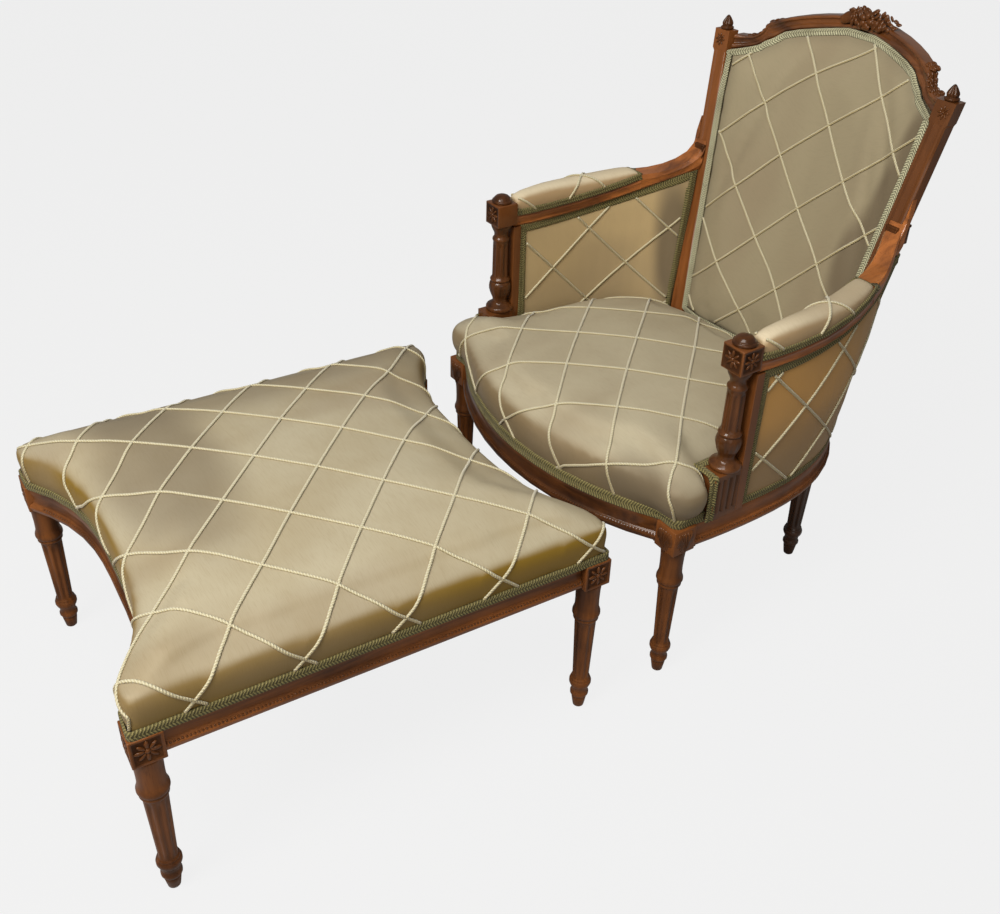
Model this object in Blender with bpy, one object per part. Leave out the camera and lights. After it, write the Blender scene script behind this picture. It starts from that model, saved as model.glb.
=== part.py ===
"""Carved walnut armchair in the French neoclassical style, with its double hollowed footstool.

Metres, +Z up. The chair faces -Y and stands on the floor at Z = 0. The footstool stands in front of it.
While the pieces are made, the origin is on the floor midway between the chair's front legs.
"""
import math

import bmesh
import bpy
from mathutils import Vector

# Fit between pieces that touch
GAP = 0.0003

# Turned legs of chair and footstool
LEG_HEIGHT = 0.300
LEG_RADIUS = 0.0245
LEG_FLUTE_DEPTH = 0.0022
LEG_BLOCK = 0.050
LEG_BLOCK_HEIGHT = 0.052
RING_POINTS = 16

# Seat rails of chair and footstool
RAIL_HEIGHT = 0.044
RAIL_THICKNESS = 0.038
RAIL_MOULDING = 0.005

# Seat plan of the chair
FRONT_LEG_HALF_SPREAD = 0.341
FRONT_BOW = 0.113
FRONT_BOW_RADIUS = 0.59
SEAT_HALF_WIDTH = 0.369
SEAT_WIDEST_Y = 0.16
SEAT_BACK_REACH = 0.405
SEAT_FRONT_NARROWING = 0.006
SEAT_CURVE_POWER = 2.5

# Rear uprights; each rise is counted from the top of the seat rails
REAR_LEG_FROM_MIDDLE = 0.2650
REAR_LEG_INSET = 0.028
REAR_BLOCK_DEPTH = 0.058
REAR_BLOCK_FORWARD = 0.034
REAR_BLOCK_BACKWARD = 0.066
REAR_BLOCK_OVERLAP = 0.012
STILE_WIDTH = 0.038
STILE_HEAD_WIDTH = 0.035
STILE_DEPTH = 0.026
STILE_GROOVE = 0.003
STILE_LOW_RISE = 0.110
STILE_LOW_X = 0.222
STILE_LOW_FORWARD = 0.0705
STILE_HIGH_RISE = 0.610
STILE_HIGH_X = 0.276
STILE_RAKE = 0.0840
HEAD_BLOCK = 0.040
HEAD_BLOCK_RISE = 0.598
HEAD_BLOCK_TOP_RISE = 0.635
HEAD_NECK = 0.006
FINIAL_HEIGHT = 0.028
FINIAL_RADIUS = 0.0135

# Top rail, its carving and the lower cross rail of the back
BACK_BOW = 0.082
TOP_RAIL_DEPTH = 0.026
TOP_RAIL_MOULDING = 0.004
TOP_RAIL_ARCH = 0.074
TOP_RAIL_END_RISE = 0.630
TOP_RAIL_INNER_END_RISE = 0.600
TOP_RAIL_INNER_ARCH = 0.083
CREST_HALF_WIDTH = 0.068
CREST_HEIGHT = 0.015
CREST_DEPTH = 0.026
CREST_DROP = 0.020
CREST_CLEARANCE = 0.0009
BACK_CROSS_RAIL_RISE = 0.053
BACK_CROSS_RAIL_HEIGHT = 0.040
BACK_CROSS_RAIL_DEPTH = 0.009

# Arm posts, the plinths below them and the boards behind them
POST_X = 0.349
POST_Y = 0.089
PLINTH_TOP_RISE = 0.093
PLINTH_HALF_WIDTH = 0.0225
PLINTH_FRONT_REACH = 0.037
PLINTH_FLARE = 0.003
PLINTH_FLUTE_DEPTH = 0.003
POST_RADIUS = 0.029
POST_FLUTE_DEPTH = 0.0016
POST_TURNING_HEIGHT = 0.195
POST_BLOCK = 0.047
POST_BLOCK_HEIGHT = 0.046
POST_BUTTON_HEIGHT = 0.017
BOARD_FRONT_SETBACK = 0.020
BOARD_THICKNESS = 0.018
BOARD_WIDTH = 0.040

# Arm rails and their swoop into the uprights
ARM_BOTTOM_RISE = 0.280
ARM_RISE = 0.075
ARM_RISE_POWER = 2.3
ARM_THICKNESS = 0.026
ARM_HALF_WIDTH = 0.019
ARM_SWELL = 0.008
ARM_CURVE_START_Y = 0.15
ARM_CURVE_DEPTH = 0.088
ARM_CURVE_POWER = 2.6
ARM_MOULDING = 0.004
PAD_LENGTH = 0.300
PAD_HEIGHT = 0.046
PAD_OVERHANG = 0.003
SWOOP_START_ABOVE_ARM = 0.034
SWOOP_HEIGHT = 0.112
SWOOP_POWER = 2.4
ARM_TENON = 0.012

# Upholstery of the chair
SEAT_SIDE_HEIGHT = 0.070
SEAT_CROWN = 0.046
SEAT_DRAW_IN = 0.004
SEAT_EDGE_SETBACK = 0.008
SEAT_BACK_FORWARD = 0.0950
SEAT_HOLLOW_INSET = 0.075
SEAT_HOLLOW_HEIGHT = 0.040
EAR_BACK_CLEARANCE = 0.003
PANEL_INSET = 0.022
PANEL_CORE = 0.008
PANEL_THICKNESS = 0.011
PANEL_PUFF = 0.007
PANEL_TOP_CLEARANCE = 0.0016
BACK_CUSHION_BACK = 0.011
BACK_CUSHION_EDGE = 0.004
BACK_CUSHION_PUFF = 0.085
OUTER_BACK_THICKNESS = 0.008
OUTER_BACK_PUFF = 0.006
BACK_OPENING_CLEARANCE = 0.0015
BACK_STRAIGHT_STEPS = 6

# Footstool
STOOL_X = -0.0238
STOOL_Y = -0.5375
STOOL_TURN = math.radians(-3.54)
STOOL_LEG_HALF_WIDTH = 0.332
STOOL_LEG_HALF_LENGTH = 0.376
STOOL_RAIL_SETBACK = 0.009
STOOL_WAIST = 0.322
STOOL_HOLLOW_DEPTH = 0.077
STOOL_HOLLOW_POWER = 3.2
STOOL_SIDE_HEIGHT = 0.066
STOOL_CROWN = 0.040
STOOL_DRAW_IN = 0.003
STOOL_EDGE_SETBACK = 0.004

# Webbing and springs
WEB_WIDTH = 0.050
WEB_THICKNESS = 0.002
WEB_LAP = 0.012
WEB_SPACING = 0.110
SPRING_RADIUS = 0.028
SPRING_WIRE = 0.0020
SPRING_TURNS = 3
SPRING_POINTS_PER_TURN = 7

# Steps of the curves
CURVE_STEPS = 60
RAIL_STEPS = 12
STOOL_END_STEPS = 14
BLOCK_STEPS = 4
STILE_STEPS = 3
CROSS_RAIL_STEPS = 8
ARM_STEPS = 6
SWOOP_STEPS = 7
PANEL_STEPS = 12
SEAT_FRONT_STEPS = 5
SEAT_SIDE_STEPS = 6
STOOL_COVER_STEPS = 6
PLINTH_FLUTES = 4
PATH_PROBE = 0.002
SMOOTH_ANGLE = math.radians(38)

# Outlines as shares of the sizes they follow.
# A turned leg: height up to the block, radius, flute depth.
LEG_TURNING_SHARES = (
    (0.0, 0.38, 0), (0.02, 0.45, 0), (0.074, 0.55, 0), (0.084, 0.48, 0),
    (0.096, 0.66, 0), (0.119, 0.67, 0), (0.136, 0.57, 0), (0.165, 0.62, 0),
    (0.19, 0.79, 0), (0.216, 0.80, 0), (0.238, 0.66, 0), (0.252, 0.60, 1),
    (0.70, 0.78, 1), (0.722, 0.79, 0), (0.748, 0.93, 0), (0.768, 1.0, 0),
    (0.788, 0.93, 0), (0.80, 0.88, 0), (1.0, 0.93, 0),
)
# An arm post from its base disc to its block: height, radius, flute depth.
POST_TURNING_SHARES = (
    (0.0, 0.94, 0), (0.013, 1.0, 0), (0.04, 1.0, 0), (0.056, 0.88, 0),
    (0.075, 0.64, 0), (0.105, 0.53, 0), (0.14, 0.54, 0), (0.19, 0.68, 0),
    (0.26, 0.81, 0), (0.325, 0.75, 0), (0.347, 0.65, 0), (0.366, 0.72, 0),
    (0.385, 0.64, 0), (0.40, 0.59, 1), (0.785, 0.57, 1), (0.80, 0.55, 0),
    (0.825, 0.62, 0), (0.85, 0.60, 0), (0.87, 0.50, 0), (0.91, 0.51, 0),
    (0.945, 0.66, 0), (0.98, 0.73, 0),
)
# The button on a post: height, and radius against half the block.
BUTTON_SHARES = ((0.0, 0.80), (0.35, 0.80), (0.6, 0.70), (0.85, 0.50), (1.0, 0.28))
# A plinth up its height: height, flute depth.
PLINTH_SHARES = ((0.0, 0), (0.13, 0), (0.17, 1), (0.86, 1), (0.9, 0), (1.0, 0))
# A finial above its block: height, radius.
FINIAL_SHARES = (
    (0.0, 0.95), (0.12, 1.0), (0.22, 0.78), (0.35, 0.86), (0.55, 0.74), (0.78, 0.46), (1.0, 0.12),
)
# Moulded face of a seat rail: projection, height.
RAIL_FACE_SHARES = (
    (0.0, 0.0), (0.5, 0.09), (0.0, 0.2), (-0.9, 0.27), (-1.1, 0.55), (-0.5, 0.78), (-0.9, 1.0),
)
# Front face of a stile: across, and depth against the groove.
STILE_FACE_SHARES = (
    (0.5, 1.0), (0.42, 0.0), (0.26, 0.0), (0.2, 1.0), (-0.2, 1.0), (-0.26, 0.0), (-0.42, 0.0), (-0.5, 1.0),
)
# Section of the top rail: depth against its moulding, height.
TOP_RAIL_FACE_SHARES = (
    (1.0, 0.0), (0.0, 0.14), (0.0, 0.3), (1.0, 0.42), (0.9, 0.66), (0.0, 0.78), (0.0, 0.92), (1.0, 1.0),
)
# Half outline of the top rail from its end to its middle: across, top rise, lower edge rise.
TOP_RAIL_SHARES = (
    (1.0, 0.0, 0.0), (0.93, 0.0, 0.06), (0.87, 0.03, 0.12), (0.825, 0.12, 0.17), (0.795, 0.26, 0.21),
    (0.778, 0.40, 0.25), (0.765, 0.46, 0.30), (0.70, 0.545, 0.42), (0.63, 0.64, 0.595), (0.52, 0.75, 0.71),
    (0.395, 0.85, 0.80), (0.26, 0.93, 0.89), (0.13, 0.98, 0.97), (0.0, 1.0, 1.0),
)
# Half outline of the carved crest from its middle to its tip: across, height.
CREST_SHARES = (
    (0.0, 1.0), (0.16, 0.96), (0.3, 0.78), (0.44, 0.62), (0.6, 0.66), (0.78, 0.84), (0.92, 0.74),
    (1.0, 0.35),
)
# Section of the crest from its foot on the rail's face, over the top, to its heel: depth, height, drop.
CREST_SECTION_SHARES = (
    (0.0, 0.0, 1.0), (-0.24, 0.0, 0.92), (-0.36, 0.0, 0.55), (-0.30, 0.3, 0.0), (-0.12, 0.78, 0.0),
    (0.2, 1.0, 0.0), (0.65, 0.92, 0.0), (0.95, 0.55, 0.0), (1.0, 0.0, 0.0), (0.0, 0.0, 0.0),
)
# Section of an arm rail: across, and inset against its moulding; lower edge to upper edge.
ARM_SECTION_SHARES = ((0.8, 0.0), (1.0, 0.18), (0.9, 0.45), (1.0, 0.7), (0.82, 1.0))
# Section of an arm pad: across, height.
PAD_SECTION_SHARES = ((0.93, 0.0), (1.0, 0.28), (0.97, 0.55), (0.8, 0.82), (0.45, 0.97), (0.0, 1.0))
# An arm pad along its length: place, width, height.
PAD_LENGTH_SHARES = (
    (0.0, 0.88, 0.62), (0.03, 0.95, 0.80), (0.1, 1.0, 0.93), (0.28, 1.0, 1.0), (0.5, 1.0, 0.90),
    (0.72, 1.0, 0.72), (0.88, 0.98, 0.58), (0.96, 0.92, 0.48), (1.0, 0.84, 0.36),
)
# Section of an arm panel up its shown face and down its core: height, thickness, puff.
PANEL_SECTION_SHARES = (
    (0.0, 1, 0.0), (0.08, 1, 0.5), (0.3, 1, 1.0), (0.7, 1, 1.0), (0.92, 1, 0.5), (1.0, 1, 0.0),
    (1.0, 0, 0.0), (0.0, 0, 0.0),
)
# Crown of the seats: outline drawn towards the middle, rise.
CROWN_SHARES = (
    (1.0, 0.0), (0.985, 0.14), (0.95, 0.32), (0.86, 0.56), (0.68, 0.80), (0.42, 0.95), (0.16, 1.0),
)
# Places across the back where its covers have their points.
BACK_COLUMN_SHARES = (-1.0, -0.9, -0.7, -0.4, 0.0, 0.4, 0.7, 0.9, 1.0)
# Fullness of the back cushion up its height, from the seat to the top rail.
BACK_FULLNESS_SHARES = ((0.0, 1.0), (0.2, 0.82), (0.4, 0.58), (0.7, 0.36), (0.88, 0.24), (1.0, 0.0))
PUFF_SIDE_POWER = 3.0
PUFF_END_POWER = 5.0

FINISHES = {
    "walnut": ((0.22, 0.07, 0.025), 0.28, 0.0),
    "satin": ((0.42, 0.35, 0.24), 0.55, 0.0),
    "jute": ((0.36, 0.27, 0.16), 0.9, 0.0),
    "steel": ((0.35, 0.35, 0.36), 0.4, 1.0),
}


class Path:
    """A plan curve that is walked by its length; its outer side is on the right of the walk."""

    def __init__(self, points):
        self.points = [Vector(point) for point in points]
        self.marks = [0.0]
        for start, end in zip(self.points, self.points[1:]):
            self.marks.append(self.marks[-1] + (end - start).length)
        self.length = self.marks[-1]

    def at(self, walk):
        walk = min(max(walk, 0.0), self.length)
        for index in range(1, len(self.marks)):
            if walk <= self.marks[index]:
                span = self.marks[index] - self.marks[index - 1]
                share = (walk - self.marks[index - 1]) / span
                return self.points[index - 1].lerp(self.points[index], share)
        return self.points[-1].copy()

    def along(self, walk):
        return (self.at(walk + PATH_PROBE) - self.at(walk - PATH_PROBE)).normalized()

    def out(self, walk):
        along = self.along(walk)
        return Vector((along.y, -along.x))

    def beside(self, walk, offset):
        return self.at(walk) + self.out(walk) * offset

    def walk_to(self, reached):
        """The first length at which the curve has reached what is asked."""
        for index in range(CURVE_STEPS * CURVE_STEPS):
            walk = self.length * index / (CURVE_STEPS * CURVE_STEPS)
            if reached(self.at(walk)):
                return walk
        return self.length


def spread(start, end, steps):
    return [start + (end - start) * index / steps for index in range(steps + 1)]


def rail_top():
    return LEG_HEIGHT + LEG_BLOCK_HEIGHT


def above_rail(rise):
    return rail_top() + rise


def seat_back():
    """Y of the rearmost line of the seat rails."""
    return SEAT_WIDEST_Y + SEAT_BACK_REACH


def rail_bottom():
    return rail_top() - RAIL_HEIGHT


def clear_scene():
    for old in list(bpy.data.objects):
        bpy.data.objects.remove(old, do_unlink=True)


def finish_material(name):
    material = bpy.data.materials.get(name)
    if material:
        return material
    colour, roughness, metallic = FINISHES[name]
    material = bpy.data.materials.new(name)
    material.use_nodes = True
    shader = material.node_tree.nodes["Principled BSDF"]
    shader.inputs["Base Color"].default_value = (*colour, 1.0)
    shader.inputs["Roughness"].default_value = roughness
    shader.inputs["Metallic"].default_value = metallic
    return material


def add_piece(name, bm, finish, parent):
    """Turn a finished bmesh into a named piece of the part."""
    bmesh.ops.recalc_face_normals(bm, faces=bm.faces)
    mesh = bpy.data.meshes.new(name)
    bm.to_mesh(mesh)
    bm.free()
    mesh.shade_smooth()
    mesh.set_sharp_from_angle(angle=SMOOTH_ANGLE)
    mesh.materials.append(finish_material(finish))
    piece = bpy.data.objects.new(name, mesh)
    bpy.context.collection.objects.link(piece)
    piece.parent = parent
    return piece


def as_guide(piece):
    piece.hide_render = True
    piece.display_type = "WIRE"
    return piece


def combine(piece, other, operation):
    """Join another closed shape to a piece, or cut it away; the other becomes a guide."""
    change = piece.modifiers.new(operation.lower(), "BOOLEAN")
    change.operation = operation
    change.object = as_guide(other)


def loft(rings):
    """A closed body through rings of equally many points: a first face, extruded ring by ring."""
    bm = bmesh.new()
    first = [bm.verts.new(point) for point in rings[0]]
    cap = bm.faces.new(first)
    for ring in rings[1:]:
        cap = bmesh.ops.extrude_discrete_faces(bm, faces=[cap])["faces"][0]
        for vert, point in zip(cap.verts, ring):
            vert.co = point
    bm.faces.new(list(reversed(first)))
    return bm


def flip(rings, side):
    """Rings made for the +X side, for either side."""
    return [[(point[0] * side, point[1], point[2]) for point in ring] for ring in rings]


def side_of(side):
    return "right" if side > 0 else "left"


def round_ring(centre, z, radius, flute=0.0):
    """A turned ring; every second point sinks by the flute."""
    ring = []
    for index in range(RING_POINTS):
        angle = 2 * math.pi * index / RING_POINTS
        reach = radius - flute * (index % 2)
        ring.append((centre[0] + reach * math.cos(angle), centre[1] + reach * math.sin(angle), z))
    return ring


def square_ring(centre, z, half, across=Vector((1, 0))):
    """A square ring with as many points as a turned one; across is the way one side faces."""
    ring = []
    for index in range(RING_POINTS):
        angle = 2 * math.pi * index / RING_POINTS
        reach = half / max(abs(math.cos(angle)), abs(math.sin(angle)))
        u = reach * math.cos(angle)
        v = reach * math.sin(angle)
        ring.append((centre[0] + across.x * u - across.y * v, centre[1] + across.y * u + across.x * v, z))
    return ring


def turned_rings(centre, bottom, height, radius, flute, shares):
    return [
        round_ring(centre, bottom + height * z_share, radius * r_share, flute * flute_share)
        for z_share, r_share, flute_share in shares
    ]


def leg_rings(centre):
    rings = turned_rings(centre, 0, LEG_HEIGHT, LEG_RADIUS, LEG_FLUTE_DEPTH, LEG_TURNING_SHARES)
    for z in (LEG_HEIGHT, LEG_HEIGHT + LEG_BLOCK_HEIGHT):
        rings.append(square_ring(centre, z, LEG_BLOCK / 2))
    return rings


def rail_section(thickness):
    """Outline of a seat rail: offset from its lower outer edge, height."""
    section = [
        (RAIL_MOULDING * out_share, rail_bottom() + RAIL_HEIGHT * z_share)
        for out_share, z_share in RAIL_FACE_SHARES
    ]
    section.append((-thickness, rail_top()))
    section.append((-thickness, rail_bottom()))
    return section


def rail_rings(path, walks, section, end_x=None):
    """Rings of a moulded rail; with end_x both end rings are slid onto the planes X = -end_x and end_x."""
    rings = []
    for walk in walks:
        along = path.along(walk)
        ring = []
        for offset, z in section:
            point = path.beside(walk, offset)
            if end_x and walk in (walks[0], walks[-1]):
                target = end_x if point.x > 0 else -end_x
                point = point + along * ((target - point.x) / along.x)
            ring.append((point.x, point.y, z))
        rings.append(ring)
    return rings


def front_path():
    """Lower outer edge of the bowed front rail, from left to right."""
    reach = FRONT_LEG_HALF_SPREAD
    points = []
    for x in spread(-reach, reach, CURVE_STEPS):
        rise = FRONT_BOW_RADIUS - math.sqrt(FRONT_BOW_RADIUS ** 2 - x ** 2)
        points.append((x, rise - FRONT_BOW))
    return Path(points)


def seat_path():
    """Lower outer edge of the horseshoe: right side, round the back and down the left side."""
    start = LEG_BLOCK / 2 + GAP
    points = []
    for y in spread(start, SEAT_WIDEST_Y, CURVE_STEPS)[:-1]:
        share = (SEAT_WIDEST_Y - y) / (SEAT_WIDEST_Y - start)
        points.append((SEAT_HALF_WIDTH - SEAT_FRONT_NARROWING * share ** 2, y))
    for angle in spread(0, math.pi / 2, CURVE_STEPS):
        x = SEAT_HALF_WIDTH * max(math.cos(angle), 0) ** (2 / SEAT_CURVE_POWER)
        y = SEAT_WIDEST_Y + SEAT_BACK_REACH * math.sin(angle) ** (2 / SEAT_CURVE_POWER)
        points.append((x, y))
    mirrored = [(-x, y) for x, y in reversed(points[:-1])]
    return Path(points + mirrored)


def rear_leg_walk(path):
    return path.length / 2 - REAR_LEG_FROM_MIDDLE


def rear_leg_centre(path):
    return path.beside(rear_leg_walk(path), -REAR_LEG_INSET)


def stile_share(z):
    return (z - above_rail(STILE_LOW_RISE)) / (STILE_HIGH_RISE - STILE_LOW_RISE)


def stile_x(z):
    return STILE_LOW_X + (STILE_HIGH_X - STILE_LOW_X) * stile_share(z)


def stile_front_y(z):
    return seat_back() - STILE_LOW_FORWARD + STILE_RAKE * stile_share(z)


def stile_width(z):
    return STILE_WIDTH + (STILE_HEAD_WIDTH - STILE_WIDTH) * stile_share(z)


def stile_inner_x(z):
    return stile_x(z) - stile_width(z) / 2


def stile_ring(z, width, groove, extra=0.0):
    """A ring of a stile: moulded front face and plain back, grown on every side by extra."""
    centre = stile_x(z)
    front = stile_front_y(z) - extra
    ring = [
        (centre + (width + 2 * extra) * across, front + groove * depth_share, z)
        for across, depth_share in STILE_FACE_SHARES
    ]
    back = front + STILE_DEPTH + 2 * extra
    ring.append((ring[-1][0], back, z))
    ring.append((ring[0][0], back, z))
    return ring


def stile_rings(bottom):
    shoulder = above_rail(HEAD_BLOCK_RISE) - HEAD_NECK
    rings = [stile_ring(z, stile_width(z), STILE_GROOVE) for z in spread(bottom, shoulder, STILE_STEPS)]
    rings.append(stile_ring(above_rail(HEAD_BLOCK_RISE), HEAD_BLOCK, 0))
    rings.append(stile_ring(above_rail(HEAD_BLOCK_TOP_RISE), HEAD_BLOCK, 0))
    return rings


def stile_guide(side, name, parent):
    """A plain stile, larger than the real one by the gap, that neighbours are cut with."""
    foot = rail_top() - REAR_BLOCK_OVERLAP
    heights = (foot, above_rail(STILE_LOW_RISE), above_rail(HEAD_BLOCK_TOP_RISE))
    rings = [stile_ring(z, stile_width(z), 0, GAP) for z in heights]
    return as_guide(add_piece(name, loft(flip(rings, side)), "walnut", parent))


def make_front_leg(side, parent):
    rings = leg_rings((FRONT_LEG_HALF_SPREAD, 0))
    add_piece("chair_front_leg_" + side_of(side), loft(flip(rings, side)), "walnut", parent)


def make_rear_upright(side, path, parent):
    """Rear leg, its moulded block in the line of the rails, and the stile above, all one piece."""
    middle = rear_leg_walk(path)
    walks = spread(middle - REAR_BLOCK_FORWARD, middle + REAR_BLOCK_BACKWARD, BLOCK_STEPS)
    block = rail_rings(path, walks, rail_section(REAR_BLOCK_DEPTH))
    upright = add_piece("rear_upright_" + side_of(side), loft(flip(block, side)), "walnut", parent)
    centre = rear_leg_centre(path)
    turning = turned_rings(centre, 0, LEG_HEIGHT, LEG_RADIUS, LEG_FLUTE_DEPTH, LEG_TURNING_SHARES)
    turning.append(round_ring(centre, rail_bottom() + REAR_BLOCK_OVERLAP, turning[-1][0][0] - centre.x))
    leg = add_piece("rear_leg_guide_" + side_of(side), loft(flip(turning, side)), "walnut", parent)
    combine(upright, leg, "UNION")
    foot = rail_top() - REAR_BLOCK_OVERLAP
    stile = add_piece("stile_guide_" + side_of(side), loft(flip(stile_rings(foot), side)), "walnut", parent)
    combine(upright, stile, "UNION")


def make_front_rail(parent):
    path = front_path()
    end_x = FRONT_LEG_HALF_SPREAD - LEG_BLOCK / 2 - GAP
    first = path.walk_to(lambda point: point.x > -end_x)
    walks = spread(first, path.length - first, RAIL_STEPS)
    rings = rail_rings(path, walks, rail_section(RAIL_THICKNESS), end_x)
    add_piece("chair_front_rail", loft(rings), "walnut", parent)


def make_side_rail(side, path, parent):
    last = rear_leg_walk(path) - REAR_BLOCK_FORWARD - GAP
    rings = rail_rings(path, spread(0, last, RAIL_STEPS), rail_section(RAIL_THICKNESS))
    level = LEG_BLOCK / 2 + GAP
    rings[0] = [(x, level, z) for x, y, z in rings[0]]
    add_piece("chair_side_rail_" + side_of(side), loft(flip(rings, side)), "walnut", parent)


def make_back_rail(path, parent):
    first = rear_leg_walk(path) + REAR_BLOCK_BACKWARD + GAP
    walks = spread(first, path.length - first, RAIL_STEPS)
    rings = rail_rings(path, walks, rail_section(RAIL_THICKNESS))
    add_piece("chair_back_rail", loft(rings), "walnut", parent)


def back_y(x, z):
    """Front of the back frame, bowed backwards between the stiles."""
    half = stile_inner_x(min(z, above_rail(HEAD_BLOCK_RISE)))
    return stile_front_y(z) + BACK_BOW * (1 - min(abs(x) / half, 1) ** 2)


def top_rail_end_x():
    return stile_x(above_rail(HEAD_BLOCK_RISE)) - HEAD_BLOCK / 2 - GAP


def top_rail_stations():
    """The top rail's outline from left to right: X, top and lower edge."""
    right = [
        (
            top_rail_end_x() * across,
            above_rail(TOP_RAIL_END_RISE) + TOP_RAIL_ARCH * top_share,
            above_rail(TOP_RAIL_INNER_END_RISE) + TOP_RAIL_INNER_ARCH * low_share,
        )
        for across, top_share, low_share in TOP_RAIL_SHARES
    ]
    left = [(-x, top, low) for x, top, low in right]
    return left + list(reversed(right[:-1]))


def top_rail_y(x, z):
    half = stile_x(above_rail(HEAD_BLOCK_RISE))
    return stile_front_y(z) + BACK_BOW * (1 - min(abs(x) / half, 1) ** 2)


def make_top_rail(parent):
    rings = []
    for x, top, low in top_rail_stations():
        ring = []
        for depth_share, z_share in TOP_RAIL_FACE_SHARES:
            z = low + (top - low) * z_share
            ring.append((x, top_rail_y(x, z) + TOP_RAIL_MOULDING * depth_share, z))
        ring.append((x, top_rail_y(x, top) + TOP_RAIL_DEPTH, top))
        ring.append((x, top_rail_y(x, low) + TOP_RAIL_DEPTH, low))
        rings.append(ring)
    end = top_rail_end_x()
    for ring, side in ((rings[0], -1), (rings[-1], 1)):
        for index, (x, y, z) in enumerate(ring):
            lean = stile_x(z) - HEAD_BLOCK / 2 - GAP
            ring[index] = (side * min(lean, end), y, z)
    add_piece("top_rail", loft(rings), "walnut", parent)


def top_edge_z(x):
    """Height of the top rail's upper edge at X."""
    stations = top_rail_stations()
    for start, end in zip(stations, stations[1:]):
        if start[0] <= x <= end[0]:
            share = (x - start[0]) / (end[0] - start[0])
            return start[1] + (end[1] - start[1]) * share
    return above_rail(TOP_RAIL_END_RISE)


def make_crest(parent):
    """Carved spray on the middle of the top rail."""
    half = [(CREST_HALF_WIDTH * across, CREST_HEIGHT * rise) for across, rise in CREST_SHARES]
    stations = [(-x, rise) for x, rise in reversed(half[1:])] + half
    rings = []
    for x, rise in stations:
        base = top_edge_z(x) + CREST_CLEARANCE
        drop = CREST_DROP * rise / CREST_HEIGHT
        ring = []
        for depth_share, z_share, drop_share in CREST_SECTION_SHARES:
            z = base + rise * z_share - drop * drop_share
            ring.append((x, top_rail_y(x, z) - CREST_CLEARANCE + CREST_DEPTH * depth_share, z))
        rings.append(ring)
    add_piece("crest_carving", loft(rings), "walnut", parent)


def make_finial(side, parent):
    top = above_rail(HEAD_BLOCK_TOP_RISE)
    centre = (stile_x(top), stile_front_y(top) + STILE_DEPTH / 2)
    rings = [
        round_ring(centre, top + GAP + FINIAL_HEIGHT * z_share, FINIAL_RADIUS * r_share)
        for z_share, r_share in FINIAL_SHARES
    ]
    add_piece("finial_" + side_of(side), loft(flip(rings, side)), "walnut", parent)


def make_back_cross_rail(parent):
    high = above_rail(BACK_CROSS_RAIL_RISE)
    low = high - BACK_CROSS_RAIL_HEIGHT
    rings = []
    for share in spread(-1, 1, CROSS_RAIL_STEPS):
        ring = []
        for z, depth in ((low, 0), (high, 0), (high, 1), (low, 1)):
            x = share * (stile_inner_x(z) - GAP)
            y = back_y(x, z) + BACK_CUSHION_EDGE + BACK_CROSS_RAIL_DEPTH * depth
            ring.append((x, y, z))
        rings.append(ring)
    add_piece("back_cross_rail", loft(rings), "walnut", parent)


def make_plinth(side, parent):
    """Square plinth under an arm post, with stopped flutes on its outer face."""
    board = POST_Y + BOARD_FRONT_SETBACK - GAP
    bottom = rail_top() + GAP
    height = above_rail(PLINTH_TOP_RISE) - bottom
    rings = []
    for z_share, flute_share in PLINTH_SHARES:
        front = POST_Y - PLINTH_FRONT_REACH - PLINTH_FLARE * z_share
        inner = POST_X - PLINTH_HALF_WIDTH
        outer = POST_X + PLINTH_HALF_WIDTH
        z = bottom + height * z_share
        ring = [(inner, board, z), (inner, front, z), (outer, front, z)]
        pitch = (board - front) / PLINTH_FLUTES
        for index in range(PLINTH_FLUTES):
            middle = front + pitch * (index + 1 / 2)
            depth = PLINTH_FLUTE_DEPTH * flute_share
            ring.append((outer, middle - pitch / 3, z))
            ring.append((outer - depth, middle, z))
            ring.append((outer, middle + pitch / 3, z))
        ring.append((outer, board, z))
        rings.append(ring)
    add_piece("arm_plinth_" + side_of(side), loft(flip(rings, side)), "walnut", parent)


def post_block_bottom():
    return above_rail(PLINTH_TOP_RISE) + GAP + POST_TURNING_HEIGHT


def make_post(side, parent):
    """Base disc, urn, fluted column, square block and button, turned from one piece."""
    centre = (POST_X, POST_Y)
    bottom = above_rail(PLINTH_TOP_RISE) + GAP
    rings = turned_rings(
        centre, bottom, POST_TURNING_HEIGHT, POST_RADIUS, POST_FLUTE_DEPTH, POST_TURNING_SHARES)
    flat = POST_Y + BOARD_FRONT_SETBACK - GAP
    rings = [[(x, min(y, flat), z) for x, y, z in ring] for ring in rings]
    block_bottom = post_block_bottom()
    block_top = block_bottom + POST_BLOCK_HEIGHT
    rings.append(square_ring(centre, block_bottom, POST_BLOCK / 2))
    rings.append(square_ring(centre, block_top, POST_BLOCK / 2))
    for z_share, r_share in BUTTON_SHARES:
        rings.append(round_ring(centre, block_top + POST_BUTTON_HEIGHT * z_share, POST_BLOCK / 2 * r_share))
    add_piece("arm_post_" + side_of(side), loft(flip(rings, side)), "walnut", parent)


def make_board(side, parent):
    """Flat board behind the post, between the side rail and the arm rail."""
    front = POST_Y + BOARD_FRONT_SETBACK
    inner = POST_X + PLINTH_HALF_WIDTH - BOARD_WIDTH
    outer = POST_X + PLINTH_HALF_WIDTH
    rings = []
    for z in (rail_top() + GAP, above_rail(ARM_BOTTOM_RISE) - GAP):
        back = front + BOARD_THICKNESS
        rings.append([(inner, front, z), (outer, front, z), (outer, back, z), (inner, back, z)])
    add_piece("arm_board_" + side_of(side), loft(flip(rings, side)), "walnut", parent)


def arm_start_y():
    return POST_Y + POST_BLOCK / 2 + GAP


def arm_end_y():
    return stile_front_y(above_rail(ARM_BOTTOM_RISE) + ARM_RISE)


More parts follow.
